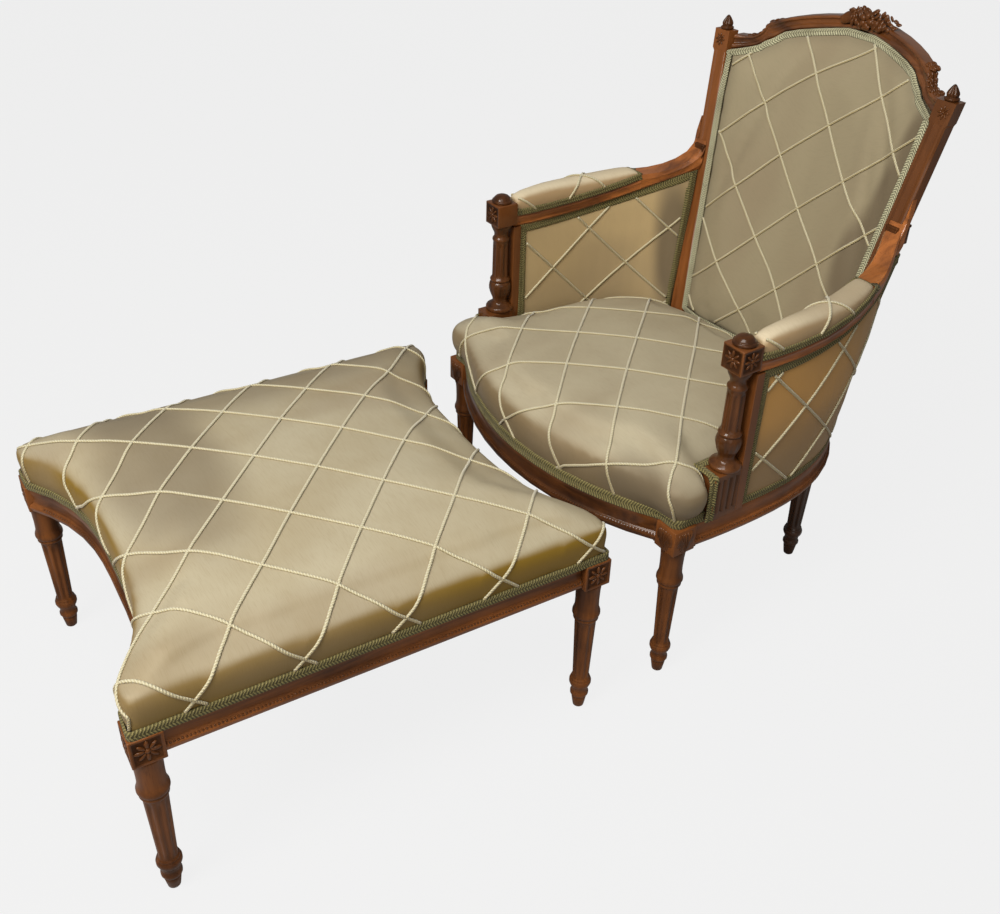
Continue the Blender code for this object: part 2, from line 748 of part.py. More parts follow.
def arm_share(y):
    return (y - arm_start_y()) / (arm_end_y() - arm_start_y())


def arm_bottom_z(y):
    return above_rail(ARM_BOTTOM_RISE) + ARM_RISE * min(max(arm_share(y), 0), 1) ** ARM_RISE_POWER


def arm_x(y):
    start = POST_X + PLINTH_HALF_WIDTH - BOARD_WIDTH / 2
    share = max(y - ARM_CURVE_START_Y, 0) / (arm_end_y() - ARM_CURVE_START_Y)
    return start - ARM_CURVE_DEPTH * min(share, 1) ** ARM_CURVE_POWER


def arm_half(y):
    return ARM_HALF_WIDTH + ARM_SWELL * math.sin(math.pi * min(max(arm_share(y), 0), 1))


def arm_ring(low, high):
    """A ring of an arm rail between its lower and its upper edge, each given as Y and Z."""
    ring = []
    for side in (1, -1):
        order = ARM_SECTION_SHARES if side > 0 else tuple(reversed(ARM_SECTION_SHARES))
        for across, rise in order:
            y = low[0] + (high[0] - low[0]) * rise
            z = low[1] + (high[1] - low[1]) * rise
            half = arm_half(y) - ARM_MOULDING * (1 - across) / (1 - ARM_SECTION_SHARES[0][0])
            ring.append((arm_x(y) + side * half, y, z))
    return ring


def pad_end_y():
    return arm_start_y() + PAD_LENGTH


def make_arm_rail(side, parent):
    """Arm rail: a low bed under the pad, then the sweep up the front of the stile."""
    rings = []
    for y in spread(arm_start_y(), pad_end_y(), ARM_STEPS):
        z = arm_bottom_z(y)
        rings.append(arm_ring((y, z), (y, z + ARM_THICKNESS)))
    start = (pad_end_y(), arm_bottom_z(pad_end_y()))
    top = start[1] + SWOOP_START_ABOVE_ARM
    high_end = (stile_front_y(top + SWOOP_HEIGHT), top + SWOOP_HEIGHT)
    for angle in spread(0, math.pi / 2, SWOOP_STEPS):
        forward = math.sin(angle) ** (2 / SWOOP_POWER)
        upward = 1 - max(math.cos(angle), 0) ** (2 / SWOOP_POWER)
        y = start[0] + GAP + (arm_end_y() - start[0] - GAP) * forward
        high_y = start[0] + GAP + (high_end[0] - start[0] - GAP) * forward
        rings.append(arm_ring((y, arm_bottom_z(y)), (high_y, top + SWOOP_HEIGHT * upward)))
    low_end = (arm_end_y() + ARM_TENON, arm_bottom_z(arm_end_y()))
    rings.append(arm_ring(low_end, (high_end[0] + ARM_TENON, high_end[1])))
    name = "arm_rail_" + side_of(side)
    arm = add_piece(name, loft(flip(rings, side)), "walnut", parent)
    combine(arm, stile_guide(side, "arm_cut_" + side_of(side), parent), "DIFFERENCE")


def make_arm_pad(side, parent):
    """Padded arm rest on the bed of the arm rail."""
    rings = []
    for place, width_share, height_share in PAD_LENGTH_SHARES:
        y = arm_start_y() + GAP + (PAD_LENGTH - 2 * GAP) * place
        base = arm_bottom_z(y) + ARM_THICKNESS + GAP
        half = (arm_half(y) + PAD_OVERHANG) * width_share
        right = [(half * across, PAD_HEIGHT * height_share * rise) for across, rise in PAD_SECTION_SHARES]
        outline = right + [(-x, z) for x, z in reversed(right[:-1])]
        rings.append([(arm_x(y) + x, y, base + z) for x, z in outline])
    add_piece("arm_pad_" + side_of(side), loft(flip(rings, side)), "satin", parent)


def panel_rings(path, inwards):
    """Rings of an arm panel; it is padded on the side it shows."""
    front_y = POST_Y + BOARD_FRONT_SETBACK + BOARD_THICKNESS + GAP
    first = path.walk_to(lambda point: point.y >= front_y)
    last = rear_leg_walk(path)
    top_end = arm_end_y() + ARM_TENON
    low_z = rail_top() + GAP
    rings = []
    for share in spread(0, 1, PANEL_STEPS):
        walk = first + (last - first) * share
        low = path.beside(walk, -PANEL_INSET)
        y = front_y + (top_end - front_y) * share
        high = Vector((arm_x(y), y))
        if share == 0:
            low = Vector((low.x, front_y))
        out = path.out(walk) * inwards
        fullness = 1 - abs(2 * share - 1) ** PUFF_SIDE_POWER
        ring = []
        for rise, thick_share, puff_share in PANEL_SECTION_SHARES:
            reach = PANEL_CORE / 2 + PANEL_THICKNESS * thick_share + PANEL_PUFF * puff_share * fullness
            point = low.lerp(high, rise) + out * reach
            if share == 0:
                point.y = front_y
            high_z = arm_bottom_z(point.y) - PANEL_TOP_CLEARANCE
            ring.append((point.x, point.y, low_z + (high_z - low_z) * rise))
        rings.append(ring)
    return rings


def make_arm_panel(side, path, inwards, parent):
    word = "inner" if inwards < 0 else "outer"
    name = "arm_" + word + "_panel_" + side_of(side)
    panel = add_piece(name, loft(flip(panel_rings(path, inwards), side)), "satin", parent)
    combine(panel, stile_guide(side, name + "_cut", parent), "DIFFERENCE")


def seat_ear_back():
    return POST_Y - PLINTH_FRONT_REACH - PLINTH_FLARE - EAR_BACK_CLEARANCE


def seat_outline(path):
    """Plan of the chair's seat cover, counterclockwise from the middle of its bowed front."""
    front = front_path()
    ear_x = FRONT_LEG_HALF_SPREAD + LEG_BLOCK / 2 - SEAT_EDGE_SETBACK
    ear_back = seat_ear_back()
    ear_front = SEAT_EDGE_SETBACK - LEG_BLOCK / 2
    corner_x = FRONT_LEG_HALF_SPREAD - LEG_BLOCK / 2
    inner_x = POST_X + PLINTH_HALF_WIDTH - BOARD_WIDTH - EAR_BACK_CLEARANCE - PANEL_PUFF
    cushion_back = seat_back() - SEAT_BACK_FORWARD
    points = []
    for x in spread(0, corner_x, SEAT_FRONT_STEPS)[:-1]:
        rise = FRONT_BOW_RADIUS - math.sqrt(FRONT_BOW_RADIUS ** 2 - x ** 2)
        points.append(Vector((x, rise - FRONT_BOW + SEAT_EDGE_SETBACK)))
    points.append(Vector((corner_x, ear_front)))
    points.append(Vector((ear_x - SEAT_EDGE_SETBACK, ear_front)))
    points.append(Vector((ear_x, ear_front + SEAT_EDGE_SETBACK)))
    points.append(Vector((ear_x, ear_back)))
    points.append(Vector((inner_x, ear_back)))
    inset = PANEL_INSET + PANEL_CORE / 2 + PANEL_THICKNESS + PANEL_PUFF + EAR_BACK_CLEARANCE
    back_front = POST_Y + BOARD_FRONT_SETBACK + BOARD_THICKNESS
    first = path.walk_to(lambda point: point.y >= back_front)
    last = path.walk_to(lambda point: point.y >= cushion_back)
    for walk in spread(first, last, SEAT_SIDE_STEPS):
        point = path.beside(walk, -inset)
        points.append(Vector((min(point.x, inner_x), min(point.y, cushion_back))))
    points.append(Vector((points[-1].x / 2, cushion_back)))
    left = [Vector((-point.x, point.y)) for point in reversed(points[1:])]
    points.append(Vector((0, cushion_back)))
    return points + left


def cushion_rings(outline, edge_middle, middle, bottom, side_height, crown, draw_in):
    """A crowned cover with a hollow underside: roof of the hollow, rim, sides and crown.

    The outline is drawn in towards edge_middle at first and towards middle at the top.
    """
    def scaled(share):
        centre = middle.lerp(edge_middle, share)
        return [centre + (point - centre) * share for point in outline]

    reach = max((point - middle).length for point in outline)
    hollow = scaled(1 - SEAT_HOLLOW_INSET / reach)
    rings = [[(point.x, point.y, bottom + SEAT_HOLLOW_HEIGHT) for point in hollow]]
    rings.append([(point.x, point.y, bottom) for point in hollow])
    rings.append([(point.x, point.y, bottom) for point in outline])
    drawn = scaled(1 - draw_in / reach)
    rings.append([(point.x, point.y, bottom + side_height / 2) for point in drawn])
    for share, rise in CROWN_SHARES:
        rings.append([(point.x, point.y, bottom + side_height + crown * rise) for point in scaled(share)])
    return rings


def make_seat(path, parent):
    bottom = rail_top() + GAP
    rings = cushion_rings(
        seat_outline(path), Vector((0, seat_ear_back())), Vector((0, SEAT_WIDEST_Y)), bottom,
        SEAT_SIDE_HEIGHT, SEAT_CROWN, SEAT_DRAW_IN)
    add_piece("seat_upholstery", loft(rings), "satin", parent)


def back_levels(bottom):
    """Heights up the back opening with their half widths: between the stiles, then under the arch."""
    straight_top = above_rail(TOP_RAIL_INNER_END_RISE) - BACK_OPENING_CLEARANCE
    levels = [(z, stile_inner_x(z) - GAP) for z in spread(bottom, straight_top, BACK_STRAIGHT_STEPS)]
    levels[-1] = (straight_top, top_rail_end_x() - GAP)
    for x, top, low in reversed(top_rail_stations()):
        if GAP < x < top_rail_end_x() and low - levels[-1][0] > 2 * BACK_OPENING_CLEARANCE:
            levels.append((low - BACK_OPENING_CLEARANCE, x))
    return levels


def back_rings(bottom, front_of, back_of):
    """Rings up the back opening; front_of and back_of give the Y of the fuller and of the other face."""
    levels = back_levels(bottom)
    height = levels[-1][0] - bottom
    rings = []
    for z, half in levels:
        rise = (z - bottom) / height
        columns = [(half * across, across) for across in BACK_COLUMN_SHARES]
        full_face = [(x, front_of(x, z, across, rise), z) for x, across in columns]
        other_face = [(x, back_of(x, z), z) for x, across in reversed(columns)]
        rings.append(full_face + other_face)
    return rings


def bulge(across):
    return max(1 - abs(across) ** PUFF_SIDE_POWER, 0)


def back_fullness(rise):
    for start, end in zip(BACK_FULLNESS_SHARES, BACK_FULLNESS_SHARES[1:]):
        if rise <= end[0]:
            return start[1] + (end[1] - start[1]) * (rise - start[0]) / (end[0] - start[0])
    return BACK_FULLNESS_SHARES[-1][1]


def make_back_cushion(parent):
    def front(x, z, across, rise):
        return back_y(x, z) + BACK_CUSHION_EDGE - BACK_CUSHION_PUFF * bulge(across) * back_fullness(rise)

    def back(x, z):
        return back_y(x, z) + BACK_CUSHION_BACK

    rings = back_rings(above_rail(BACK_CROSS_RAIL_RISE) + GAP, front, back)
    add_piece("back_cushion", loft(rings), "satin", parent)


def make_outer_back(parent):
    """Tight cover on the back of the frame, down to the seat rail."""
    def outside(x, z, across, rise):
        end = 1 - abs(2 * rise - 1) ** PUFF_END_POWER
        return back_y(x, z) + STILE_DEPTH + OUTER_BACK_PUFF * bulge(across) * max(end, 0)

    def inside(x, z):
        return back_y(x, z) + STILE_DEPTH - OUTER_BACK_THICKNESS

    rings = back_rings(rail_top() + GAP, outside, inside)
    add_piece("outer_back_panel", loft(rings), "satin", parent)


def strap_grid(xs, ys):
    """Crossing straps: cells of a grid, kept where a strap of either direction runs."""
    bm = bmesh.new()
    rows = [[bm.verts.new((x, y, 0)) for x in xs] for y in ys]
    for row in range(len(ys) - 1):
        for column in range(len(xs) - 1):
            if row % 2 == 1 or column % 2 == 1:
                near = rows[row]
                far = rows[row + 1]
                bm.faces.new((near[column], near[column + 1], far[column + 1], far[column]))
    loose = [vert for vert in bm.verts if not vert.link_faces]
    bmesh.ops.delete(bm, geom=loose, context="VERTS")
    return bm


def strap_edges(low, high, middles):
    edges = [low]
    for middle in middles:
        edges += [middle - WEB_WIDTH / 2, middle + WEB_WIDTH / 2]
    return edges + [high]


def make_webbing(name, x_range, y_range, x_middles, y_middles, parent):
    """Webbing tacked under the rails, with its top against their lower face."""
    bm = strap_grid(strap_edges(*x_range, x_middles), strap_edges(*y_range, y_middles))
    webbing = add_piece(name, bm, "jute", parent)
    webbing.location.z = rail_bottom() - GAP - WEB_THICKNESS / 2
    wall = webbing.modifiers.new("thickness", "SOLIDIFY")
    wall.thickness = WEB_THICKNESS
    wall.offset = 0.0


def make_spring(name, x, y, top, parent):
    """A coil spring that stands on the webbing and carries the seat."""
    curve = bpy.data.curves.new(name, "CURVE")
    curve.dimensions = "3D"
    curve.bevel_depth = SPRING_WIRE
    curve.bevel_resolution = 0
    curve.use_fill_caps = True
    count = SPRING_TURNS * SPRING_POINTS_PER_TURN
    line = curve.splines.new("POLY")
    line.points.add(count)
    low = rail_bottom() + SPRING_WIRE + GAP
    high = top - SPRING_WIRE - GAP
    for index in range(count + 1):
        angle = 2 * math.pi * index / SPRING_POINTS_PER_TURN
        z = low + (high - low) * index / count
        line.points[index].co = (SPRING_RADIUS * math.cos(angle), SPRING_RADIUS * math.sin(angle), z, 1)
    curve.materials.append(finish_material("steel"))
    spring = bpy.data.objects.new(name, curve)
    bpy.context.collection.objects.link(spring)
    spring.parent = parent
    spring.location = (x, y, 0)


def chair_web_range():
    """Front and rear ends of the chair's lengthwise straps."""
    front = RAIL_THICKNESS - FRONT_BOW - WEB_LAP
    return front, seat_back() - RAIL_THICKNESS + WEB_LAP


def make_chair_springs(parent):
    top = rail_top() + GAP + SEAT_HOLLOW_HEIGHT
    y_middle = sum(chair_web_range()) / 2
    places = [(x, y) for y in (-1, 1) for x in (-1, 1)]
    for index, (column, row) in enumerate(places, 1):
        x = column * WEB_SPACING
        y = y_middle + row * WEB_SPACING
        make_spring("seat_spring_" + str(index), x, y, top, parent)


def make_chair_webbing(parent):
    half = SEAT_HALF_WIDTH - RAIL_THICKNESS + WEB_LAP
    ends = chair_web_range()
    middle = sum(ends) / 2
    across = (-WEB_SPACING, 0, WEB_SPACING)
    along = (middle - WEB_SPACING, middle, middle + WEB_SPACING)
    make_webbing("seat_webbing", (-half, half), ends, across, along, parent)


def stool_end_y(x):
    """How far the hollowed end of the footstool stands from its middle, at X."""
    inner = STOOL_LEG_HALF_WIDTH - LEG_BLOCK / 2
    return STOOL_WAIST + STOOL_HOLLOW_DEPTH * min(abs(x) / inner, 1) ** STOOL_HOLLOW_POWER


def make_stool_leg(x_side, y_side, parent):
    name = "stool_" + ("near" if y_side > 0 else "far") + "_leg_" + side_of(x_side)
    rings = leg_rings((STOOL_LEG_HALF_WIDTH, STOOL_LEG_HALF_LENGTH))
    rings = [[(x, y * y_side, z) for x, y, z in ring] for ring in rings]
    add_piece(name, loft(flip(rings, x_side)), "walnut", parent)


def make_stool_side_rail(side, parent):
    outer = STOOL_LEG_HALF_WIDTH + LEG_BLOCK / 2 - STOOL_RAIL_SETBACK
    end = STOOL_LEG_HALF_LENGTH - LEG_BLOCK / 2 - GAP
    path = Path([(outer, -end), (outer, end)])
    rings = rail_rings(path, (0, path.length), rail_section(RAIL_THICKNESS))
    add_piece("stool_side_rail_" + side_of(side), loft(flip(rings, side)), "walnut", parent)


def make_stool_end_rail(y_side, parent):
    """Rail of a hollowed end, between two leg blocks."""
    reach = STOOL_LEG_HALF_WIDTH
    path = Path([(x, -stool_end_y(x)) for x in spread(-reach, reach, CURVE_STEPS)])
    end_x = STOOL_LEG_HALF_WIDTH - LEG_BLOCK / 2 - GAP
    first = path.walk_to(lambda point: point.x > -end_x)
    walks = spread(first, path.length - first, STOOL_END_STEPS)
    rings = rail_rings(path, walks, rail_section(RAIL_THICKNESS), end_x)
    rings = [[(x, y * -y_side, z) for x, y, z in ring] for ring in rings]
    add_piece("stool_end_rail_" + ("near" if y_side > 0 else "far"), loft(rings), "walnut", parent)


def stool_outline():
    """Plan of the footstool's cover."""
    side_x = STOOL_LEG_HALF_WIDTH + LEG_BLOCK / 2 - STOOL_EDGE_SETBACK
    corner_y = STOOL_LEG_HALF_LENGTH + LEG_BLOCK / 2 - STOOL_EDGE_SETBACK
    quarter = [Vector((side_x, 0)), Vector((side_x, corner_y / 2))]
    quarter.append(Vector((side_x, corner_y - STOOL_EDGE_SETBACK)))
    quarter.append(Vector((side_x - STOOL_EDGE_SETBACK, corner_y)))
    inner = STOOL_LEG_HALF_WIDTH - LEG_BLOCK / 2
    for x in spread(inner, 0, STOOL_COVER_STEPS):
        quarter.append(Vector((x, stool_end_y(x) - STOOL_EDGE_SETBACK)))
    half = quarter + [Vector((-point.x, point.y)) for point in reversed(quarter[:-1])]
    return half + [Vector((point.x, -point.y)) for point in reversed(half[1:-1])]


def make_stool_upholstery(parent):
    bottom = rail_top() + GAP
    middle = Vector((0, 0))
    rings = cushion_rings(
        stool_outline(), middle, middle, bottom, STOOL_SIDE_HEIGHT, STOOL_CROWN, STOOL_DRAW_IN)
    add_piece("stool_upholstery", loft(rings), "satin", parent)


def make_stool_springs(parent):
    top = rail_top() + GAP + SEAT_HOLLOW_HEIGHT
    places = [(x, y) for y in (-1, 1) for x in (-1, 1)]
    for index, (column, row) in enumerate(places, 1):
        make_spring("stool_spring_" + str(index), column * WEB_SPACING, row * WEB_SPACING, top, parent)


def make_stool_webbing(parent):
    half = STOOL_LEG_HALF_WIDTH + LEG_BLOCK / 2 - STOOL_RAIL_SETBACK - RAIL_THICKNESS + WEB_LAP
    end = STOOL_WAIST - RAIL_THICKNESS + WEB_LAP
    spacing = WEB_SPACING
    middles = (-spacing, 0, spacing)
    make_webbing("stool_webbing", (-half, half), (-end, end), middles, middles, parent)


def make_chair(parent):
    path = seat_path()
    for side in (1, -1):
        make_front_leg(side, parent)
        make_rear_upright(side, path, parent)
        make_side_rail(side, path, parent)
        make_plinth(side, parent)
        make_post(side, parent)
        make_board(side, parent)
        make_arm_rail(side, parent)
        make_arm_pad(side, parent)
        make_arm_panel(side, path, -1, parent)
        make_arm_panel(side, path, 1, parent)
        make_finial(side, parent)
    make_front_rail(parent)
    make_back_rail(path, parent)
    make_top_rail(parent)
    make_crest(parent)
    make_back_cross_rail(parent)
    make_back_cushion(parent)
    make_outer_back(parent)
    make_seat(path, parent)
    make_chair_webbing(parent)
    make_chair_springs(parent)


def make_stool(parent):
    stand = bpy.data.objects.new("stool_stand", None)
    bpy.context.collection.objects.link(stand)
    stand.parent = parent
    stand.location = (STOOL_X, STOOL_Y, 0)
    stand.rotation_euler.z = STOOL_TURN
    for x_side in (1, -1):
        for y_side in (1, -1):
            make_stool_leg(x_side, y_side, stand)
        make_stool_side_rail(x_side, stand)
    for y_side in (1, -1):
        make_stool_end_rail(y_side, stand)
    make_stool_upholstery(stand)
    make_stool_webbing(stand)
    make_stool_springs(stand)


def centre_on_origin(root):
    """Move the whole part so that the origin is below the middle of its bounding box."""
    bpy.context.view_layer.update()
    shapes = bpy.context.evaluated_depsgraph_get()
    places = []
    for piece in bpy.data.objects:
        if piece.type == "MESH" and not piece.hide_render:
            solid = piece.evaluated_get(shapes)
            places += [solid.matrix_world @ vert.co for vert in solid.data.vertices]
    for axis in (0, 1):
        values = [place[axis] for place in places]
        root.location[axis] -= (min(values) + max(values)) / 2


def main():
    clear_scene()
    root = bpy.data.objects.new("armchair_and_footstool", None)
    bpy.context.collection.objects.link(root)
    make_chair(root)
    make_stool(root)
    centre_on_origin(root)


main()
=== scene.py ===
"""Armchair and footstool: covers, trellis cords, gimp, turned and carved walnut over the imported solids."""

import math

import bmesh
import bpy
from mathutils import Matrix, Vector, noise
from mathutils.bvhtree import BVHTree
from mathutils.kdtree import KDTree


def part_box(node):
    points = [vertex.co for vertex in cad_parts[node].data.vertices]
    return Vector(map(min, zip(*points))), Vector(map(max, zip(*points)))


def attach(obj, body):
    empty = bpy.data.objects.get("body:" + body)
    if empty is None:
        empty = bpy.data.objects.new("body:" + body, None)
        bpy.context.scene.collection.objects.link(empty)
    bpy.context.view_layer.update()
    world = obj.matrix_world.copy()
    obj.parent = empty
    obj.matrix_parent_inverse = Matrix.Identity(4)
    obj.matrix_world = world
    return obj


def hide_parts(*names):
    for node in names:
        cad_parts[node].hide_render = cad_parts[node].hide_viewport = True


bl_info = {
    "name": "Armchair and footstool",
    "version": (1, 0, 0),
    "blender": (4, 5, 0),
    "location": "View3D > Sidebar > Armchair",
    "description": "Upholsters and finishes a carved armchair and its footstool",
    "category": "Object",
}

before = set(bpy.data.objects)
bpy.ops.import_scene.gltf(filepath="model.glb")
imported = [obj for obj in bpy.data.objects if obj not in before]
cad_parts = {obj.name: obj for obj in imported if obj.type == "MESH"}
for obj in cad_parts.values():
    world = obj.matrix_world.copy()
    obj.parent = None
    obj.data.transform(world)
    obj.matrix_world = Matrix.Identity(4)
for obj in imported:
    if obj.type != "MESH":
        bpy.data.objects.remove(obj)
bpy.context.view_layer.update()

UP = Vector((0, 0, 1))
SIDES = (("left", -1), ("right", 1))
ROWS = (("near", 1), ("far", -1))
FORWARD = Vector((0, -1, 0))
BACKWARD = Vector((0, 1, 0))
WELD = 0.00001

# Heights and shares of the turnings, as the solids have them
LEG_HEIGHT = 0.300
BLOCK_SIZE = 0.050
BLOCK_TOP = 0.352
LEG_PROFILE = (
    (0.0, 0.34, 0), (0.006, 0.41, 0), (0.03, 0.46, 0), (0.074, 0.545, 0), (0.080, 0.52, 0),
    (0.086, 0.50, 0), (0.094, 0.60, 0), (0.105, 0.675, 0), (0.119, 0.68, 0), (0.130, 0.61, 0),
    (0.138, 0.57, 0), (0.165, 0.62, 0), (0.182, 0.74, 0), (0.198, 0.81, 0), (0.214, 0.81, 0),
    (0.226, 0.76, 0), (0.229, 0.70, 0), (0.234, 0.71, 0), (0.240, 0.70, 0), (0.244, 0.62, 0),
    (0.252, 0.605, 0), (0.27, 0.61, 0.8), (0.30, 0.622, 1),
    (0.50, 0.70, 1), (0.66, 0.765, 1), (0.69, 0.777, 0.8), (0.705, 0.782, 0), (0.717, 0.785, 0),
    (0.719, 0.87, 0), (0.724, 0.905, 0), (0.731, 0.905, 0), (0.736, 0.87, 0), (0.740, 0.87, 0),
    (0.748, 0.95, 0), (0.760, 1.0, 0), (0.774, 0.995, 0), (0.787, 0.94, 0), (0.80, 0.885, 0),
    (0.82, 0.86, 0), (0.86, 0.85, 0), (0.93, 0.87, 0), (1.0, 0.94, 0),
)
LEG_RADIUS = 0.0245
# How far a rear leg's turning runs up into its upright
LEG_INTO_UPRIGHT = 0.001
RAIL_DROP = 0.0045
POST_BOTTOM = 0.4453
POST_HEIGHT = 0.195
POST_RADIUS = 0.029
POST_PROFILE = (
    (0.0, 0.90, 0), (0.006, 0.97, 0), (0.016, 1.0, 0), (0.036, 1.0, 0), (0.050, 0.95, 0),
    (0.056, 0.86, 0), (0.066, 0.80, 0), (0.075, 0.66, 0), (0.090, 0.56, 0), (0.115, 0.52, 0),
    (0.14, 0.54, 0), (0.165, 0.61, 0), (0.20, 0.71, 0), (0.25, 0.80, 0), (0.29, 0.81, 0),
    (0.32, 0.76, 0), (0.335, 0.68, 0), (0.343, 0.65, 0), (0.350, 0.70, 0), (0.362, 0.74, 0),
    (0.374, 0.71, 0), (0.384, 0.64, 0), (0.395, 0.60, 0), (0.415, 0.595, 0.9), (0.44, 0.59, 1),
    (0.74, 0.575, 1), (0.765, 0.572, 0.9), (0.782, 0.57, 0), (0.80, 0.56, 0), (0.812, 0.60, 0),
    (0.826, 0.63, 0), (0.842, 0.61, 0), (0.855, 0.54, 0), (0.87, 0.50, 0), (0.90, 0.51, 0),
    (0.93, 0.60, 0), (0.96, 0.70, 0), (0.985, 0.74, 0), (1.0, 0.74, 0),
)
# How far the posts' turnings keep off the boards behind them
POST_GAP = 0.0004
POST_BLOCK = 0.047
POST_BLOCK_HEIGHT = 0.046
BUTTON_PROFILE = (
    (0.0, 0.86), (0.2, 0.90), (0.35, 0.86), (0.42, 0.76), (0.6, 0.70), (0.8, 0.55), (0.93, 0.34), (1.0, 0.05),
)
BUTTON_HEIGHT = 0.017
FINIAL_PROFILE = (
    (0.0, 0.86), (0.06, 0.98), (0.14, 1.0), (0.20, 0.86), (0.24, 0.76), (0.32, 0.82), (0.42, 0.86),
    (0.55, 0.76), (0.70, 0.58), (0.85, 0.38), (0.95, 0.20), (1.0, 0.04),
)
FINIAL_RADIUS = 0.0135
FLUTES = 8
FLUTE_DEPTH = 0.0026
# Gadroons of an urn and of a bud: where they start and end, how many, how deep
URN_GADROONS = (0.12, 0.335, 14, 0.0013)
BUD_GADROONS = (0.2, 1.0, 8, 0.0022)

# How far edges are eased, and which edges count as sharp and which faces as one plane
EASE = 0.0012
SHARP = math.radians(40)
ONE_PLANE = math.radians(1.0)
BLOCK_EASE = 0.0013
PLINTH_EASE = 0.0007
END_BLOCK_EASE = 0.002
# How deep the panels of the footstool's blocks and of the posts' blocks are sunk, the border round
# a panel and the width of its sloping edge
STOOL_PANEL = 0.0014
POST_PANEL = 0.0012
PANEL_BORDER = 0.0045
PANEL_SLOPE = 0.0012
# Middle of the bead course above a rail's lower edge, the thinnest wood that carries beads, and how
# squarely its face looks away from the seat
BEAD_RISE = 0.0107
BEAD_WOOD = 0.02
BEAD_FACING = 0.35
# Petals of a flower: how many, and as shares of its radius how far out they lie, half their length
# and half their width in turn; then half the heart's width, and its height against the petals'
PETALS = 8
PETAL_RING = 0.60
PETAL_LENGTH = 0.44
PETAL_WIDTHS = (0.19, 0.15)
HEART = 0.24
HEART_HEIGHT = 1.3
# Flowers in the blocks: radius and height; the heads' flowers lie this far below the finials
STOOL_ROSETTE = (0.0190, 0.0030)
POST_ROSETTE = (0.0165, 0.0025)
HEAD_ROSETTE = (0.0125, 0.0022)
HEAD_DROP = 0.019

# Block where an arm ends against its upright: middles and sizes of its two parts
ARM_END_BLOCK = (
    ((0.259, 0.556, 0.738), (0.026, 0.040, 0.034)),
    ((0.259, 0.557, 0.756), (0.028, 0.042, 0.006)),
)

# Patches where the satin is darkened: painted shade, and on the outer arm panels darker towards the bottom
BACK_SHADE_PATCHES = (
    ((0.250, 0.715, 0.895), (0.036, 0.5, 0.075), 0.9),
    ((0.229, 0.700, 0.790), (0.038, 0.5, 0.100), 0.9),
    ((0.200, 0.675, 0.655), (0.044, 0.5, 0.110), 0.9),
)
INNER_SHADE_PATCHES = (((-0.236, 0.617, 0.530), (0.5, 0.045, 0.20), 0.85),)
OUTER_PATCHES = (((0.340, 0.400, 0.400), (0.3, 0.6, 0.110), 0.45),)
SEAT_SHADE_PATCHES = (((0.315, 0.088, 0.400), (0.130, 0.095, 0.054), 0.85),)
STOOL_SHADE_PATCHES = (
    ((-0.150, -0.600, 0.440), (0.300, 0.115, 0.5), 0.6),
    ((-0.320, -0.300, 0.440), (0.120, 0.420, 0.5), 0.45),
)

# The crest's spray: how far it leans to one side, its lumps, and the steps that spread them evenly
CREST_LEAN = 0.013
CREST_LUMPS = 84
GOLDEN = 0.618034
SECOND_GOLDEN = 0.381966 * 1.7

# Leaves in the dips of the top rail: the first one's place, the steps to the next, how many, how deep
# they sit, which way the rail is looked for and which way they hang, and their size
DIP_START = (0.186, 1.022)
DIP_STEP = (0.0075, 0.0062)
DIP_LEAVES = 7
DIP_DEPTHS = (0.010, 0.022)
DIP_INWARD = (0.78, 0.62)
DIP_LEAF = (0.015, 0.013)
DIP_LEAF_HEIGHTS = {-1: 0.0024, 1: 0.0048}

# How far below a leaf's place the rail's front is looked for, and how far back up the leaf starts
DIP_PROBE = 0.012
DIP_START_BACK = 0.004

# Petals round the heart of the crest: their number, ring and half sizes; the core's share of its solid
CREST_PETALS = 5
CREST_RING = 0.009
CREST_PETAL = (0.0075, 0.0042, 0.0055)
CREST_CORE = (0.72, 0.86, 0.80)

# How far carving is let into the wood under it
LET_IN = 0.0004
# Leaves on a front block: how far they start below its top, their width and height, and for each
# its place across, tilt in degrees and length
ACANTHUS_DROP = 0.006
ACANTHUS_SIZE = (0.018, 0.0048)
ACANTHUS = ((-0.015, -24, 0.036), (-0.008, -8, 0.044), (0.0, 0, 0.050), (0.008, 8, 0.044), (0.015, 24, 0.036))
# The curled tip at the foot of a front block: its length, width and height, how far in from the
# block's side it starts, how far above its foot and how deep in the wood
CURL = (0.022, 0.016, 0.009)
CURL_INSET = 0.002
CURL_RISE = 0.006
CURL_DEPTH = 0.010

# Lobes of a leaf: place along and across, half length, half width, height, turn in degrees
LOBES = (
    (0.5, 0, 0.5, 0.42, 0.8, 0), (0.36, 0.34, 0.3, 0.24, 0.65, 35), (0.36, -0.34, 0.3, 0.24, 0.65, -35),
    (0.62, 0.22, 0.24, 0.17, 0.6, 25), (0.62, -0.22, 0.24, 0.17, 0.6, -25), (0.5, 0, 0.5, 0.10, 1.1, 0),
)

# How far inside the edge of a seat a cord starts to turn down
ROLL = 0.026

# Crossings of the seat's cords: line number each way, then place across and along the seat
SEAT_FRAME = ((-0.3812, 0.0669), (0.0822, 0.0816), (0.0887, -0.095))
SEAT_NODES = (
    (2, 0, -0.217, 0.227), (3, 0, -0.129, 0.314), (4, 0, -0.078, 0.419), (0, 1, -0.289, -0.025),
    (1, 1, -0.205, 0.044), (2, 1, -0.130, 0.132), (3, 1, -0.047, 0.219), (4, 1, 0.046, 0.292),
    (1, 2, -0.114, -0.051), (2, 2, -0.039, 0.034), (3, 2, 0.040, 0.119), (4, 2, 0.131, 0.197),
    (1, 3, -0.044, -0.121), (2, 3, 0.059, -0.059), (3, 3, 0.133, 0.019), (4, 3, 0.220, 0.101),
    (2, 4, 0.122, -0.136), (3, 4, 0.208, -0.057), (4, 4, 0.314, 0.008),
)
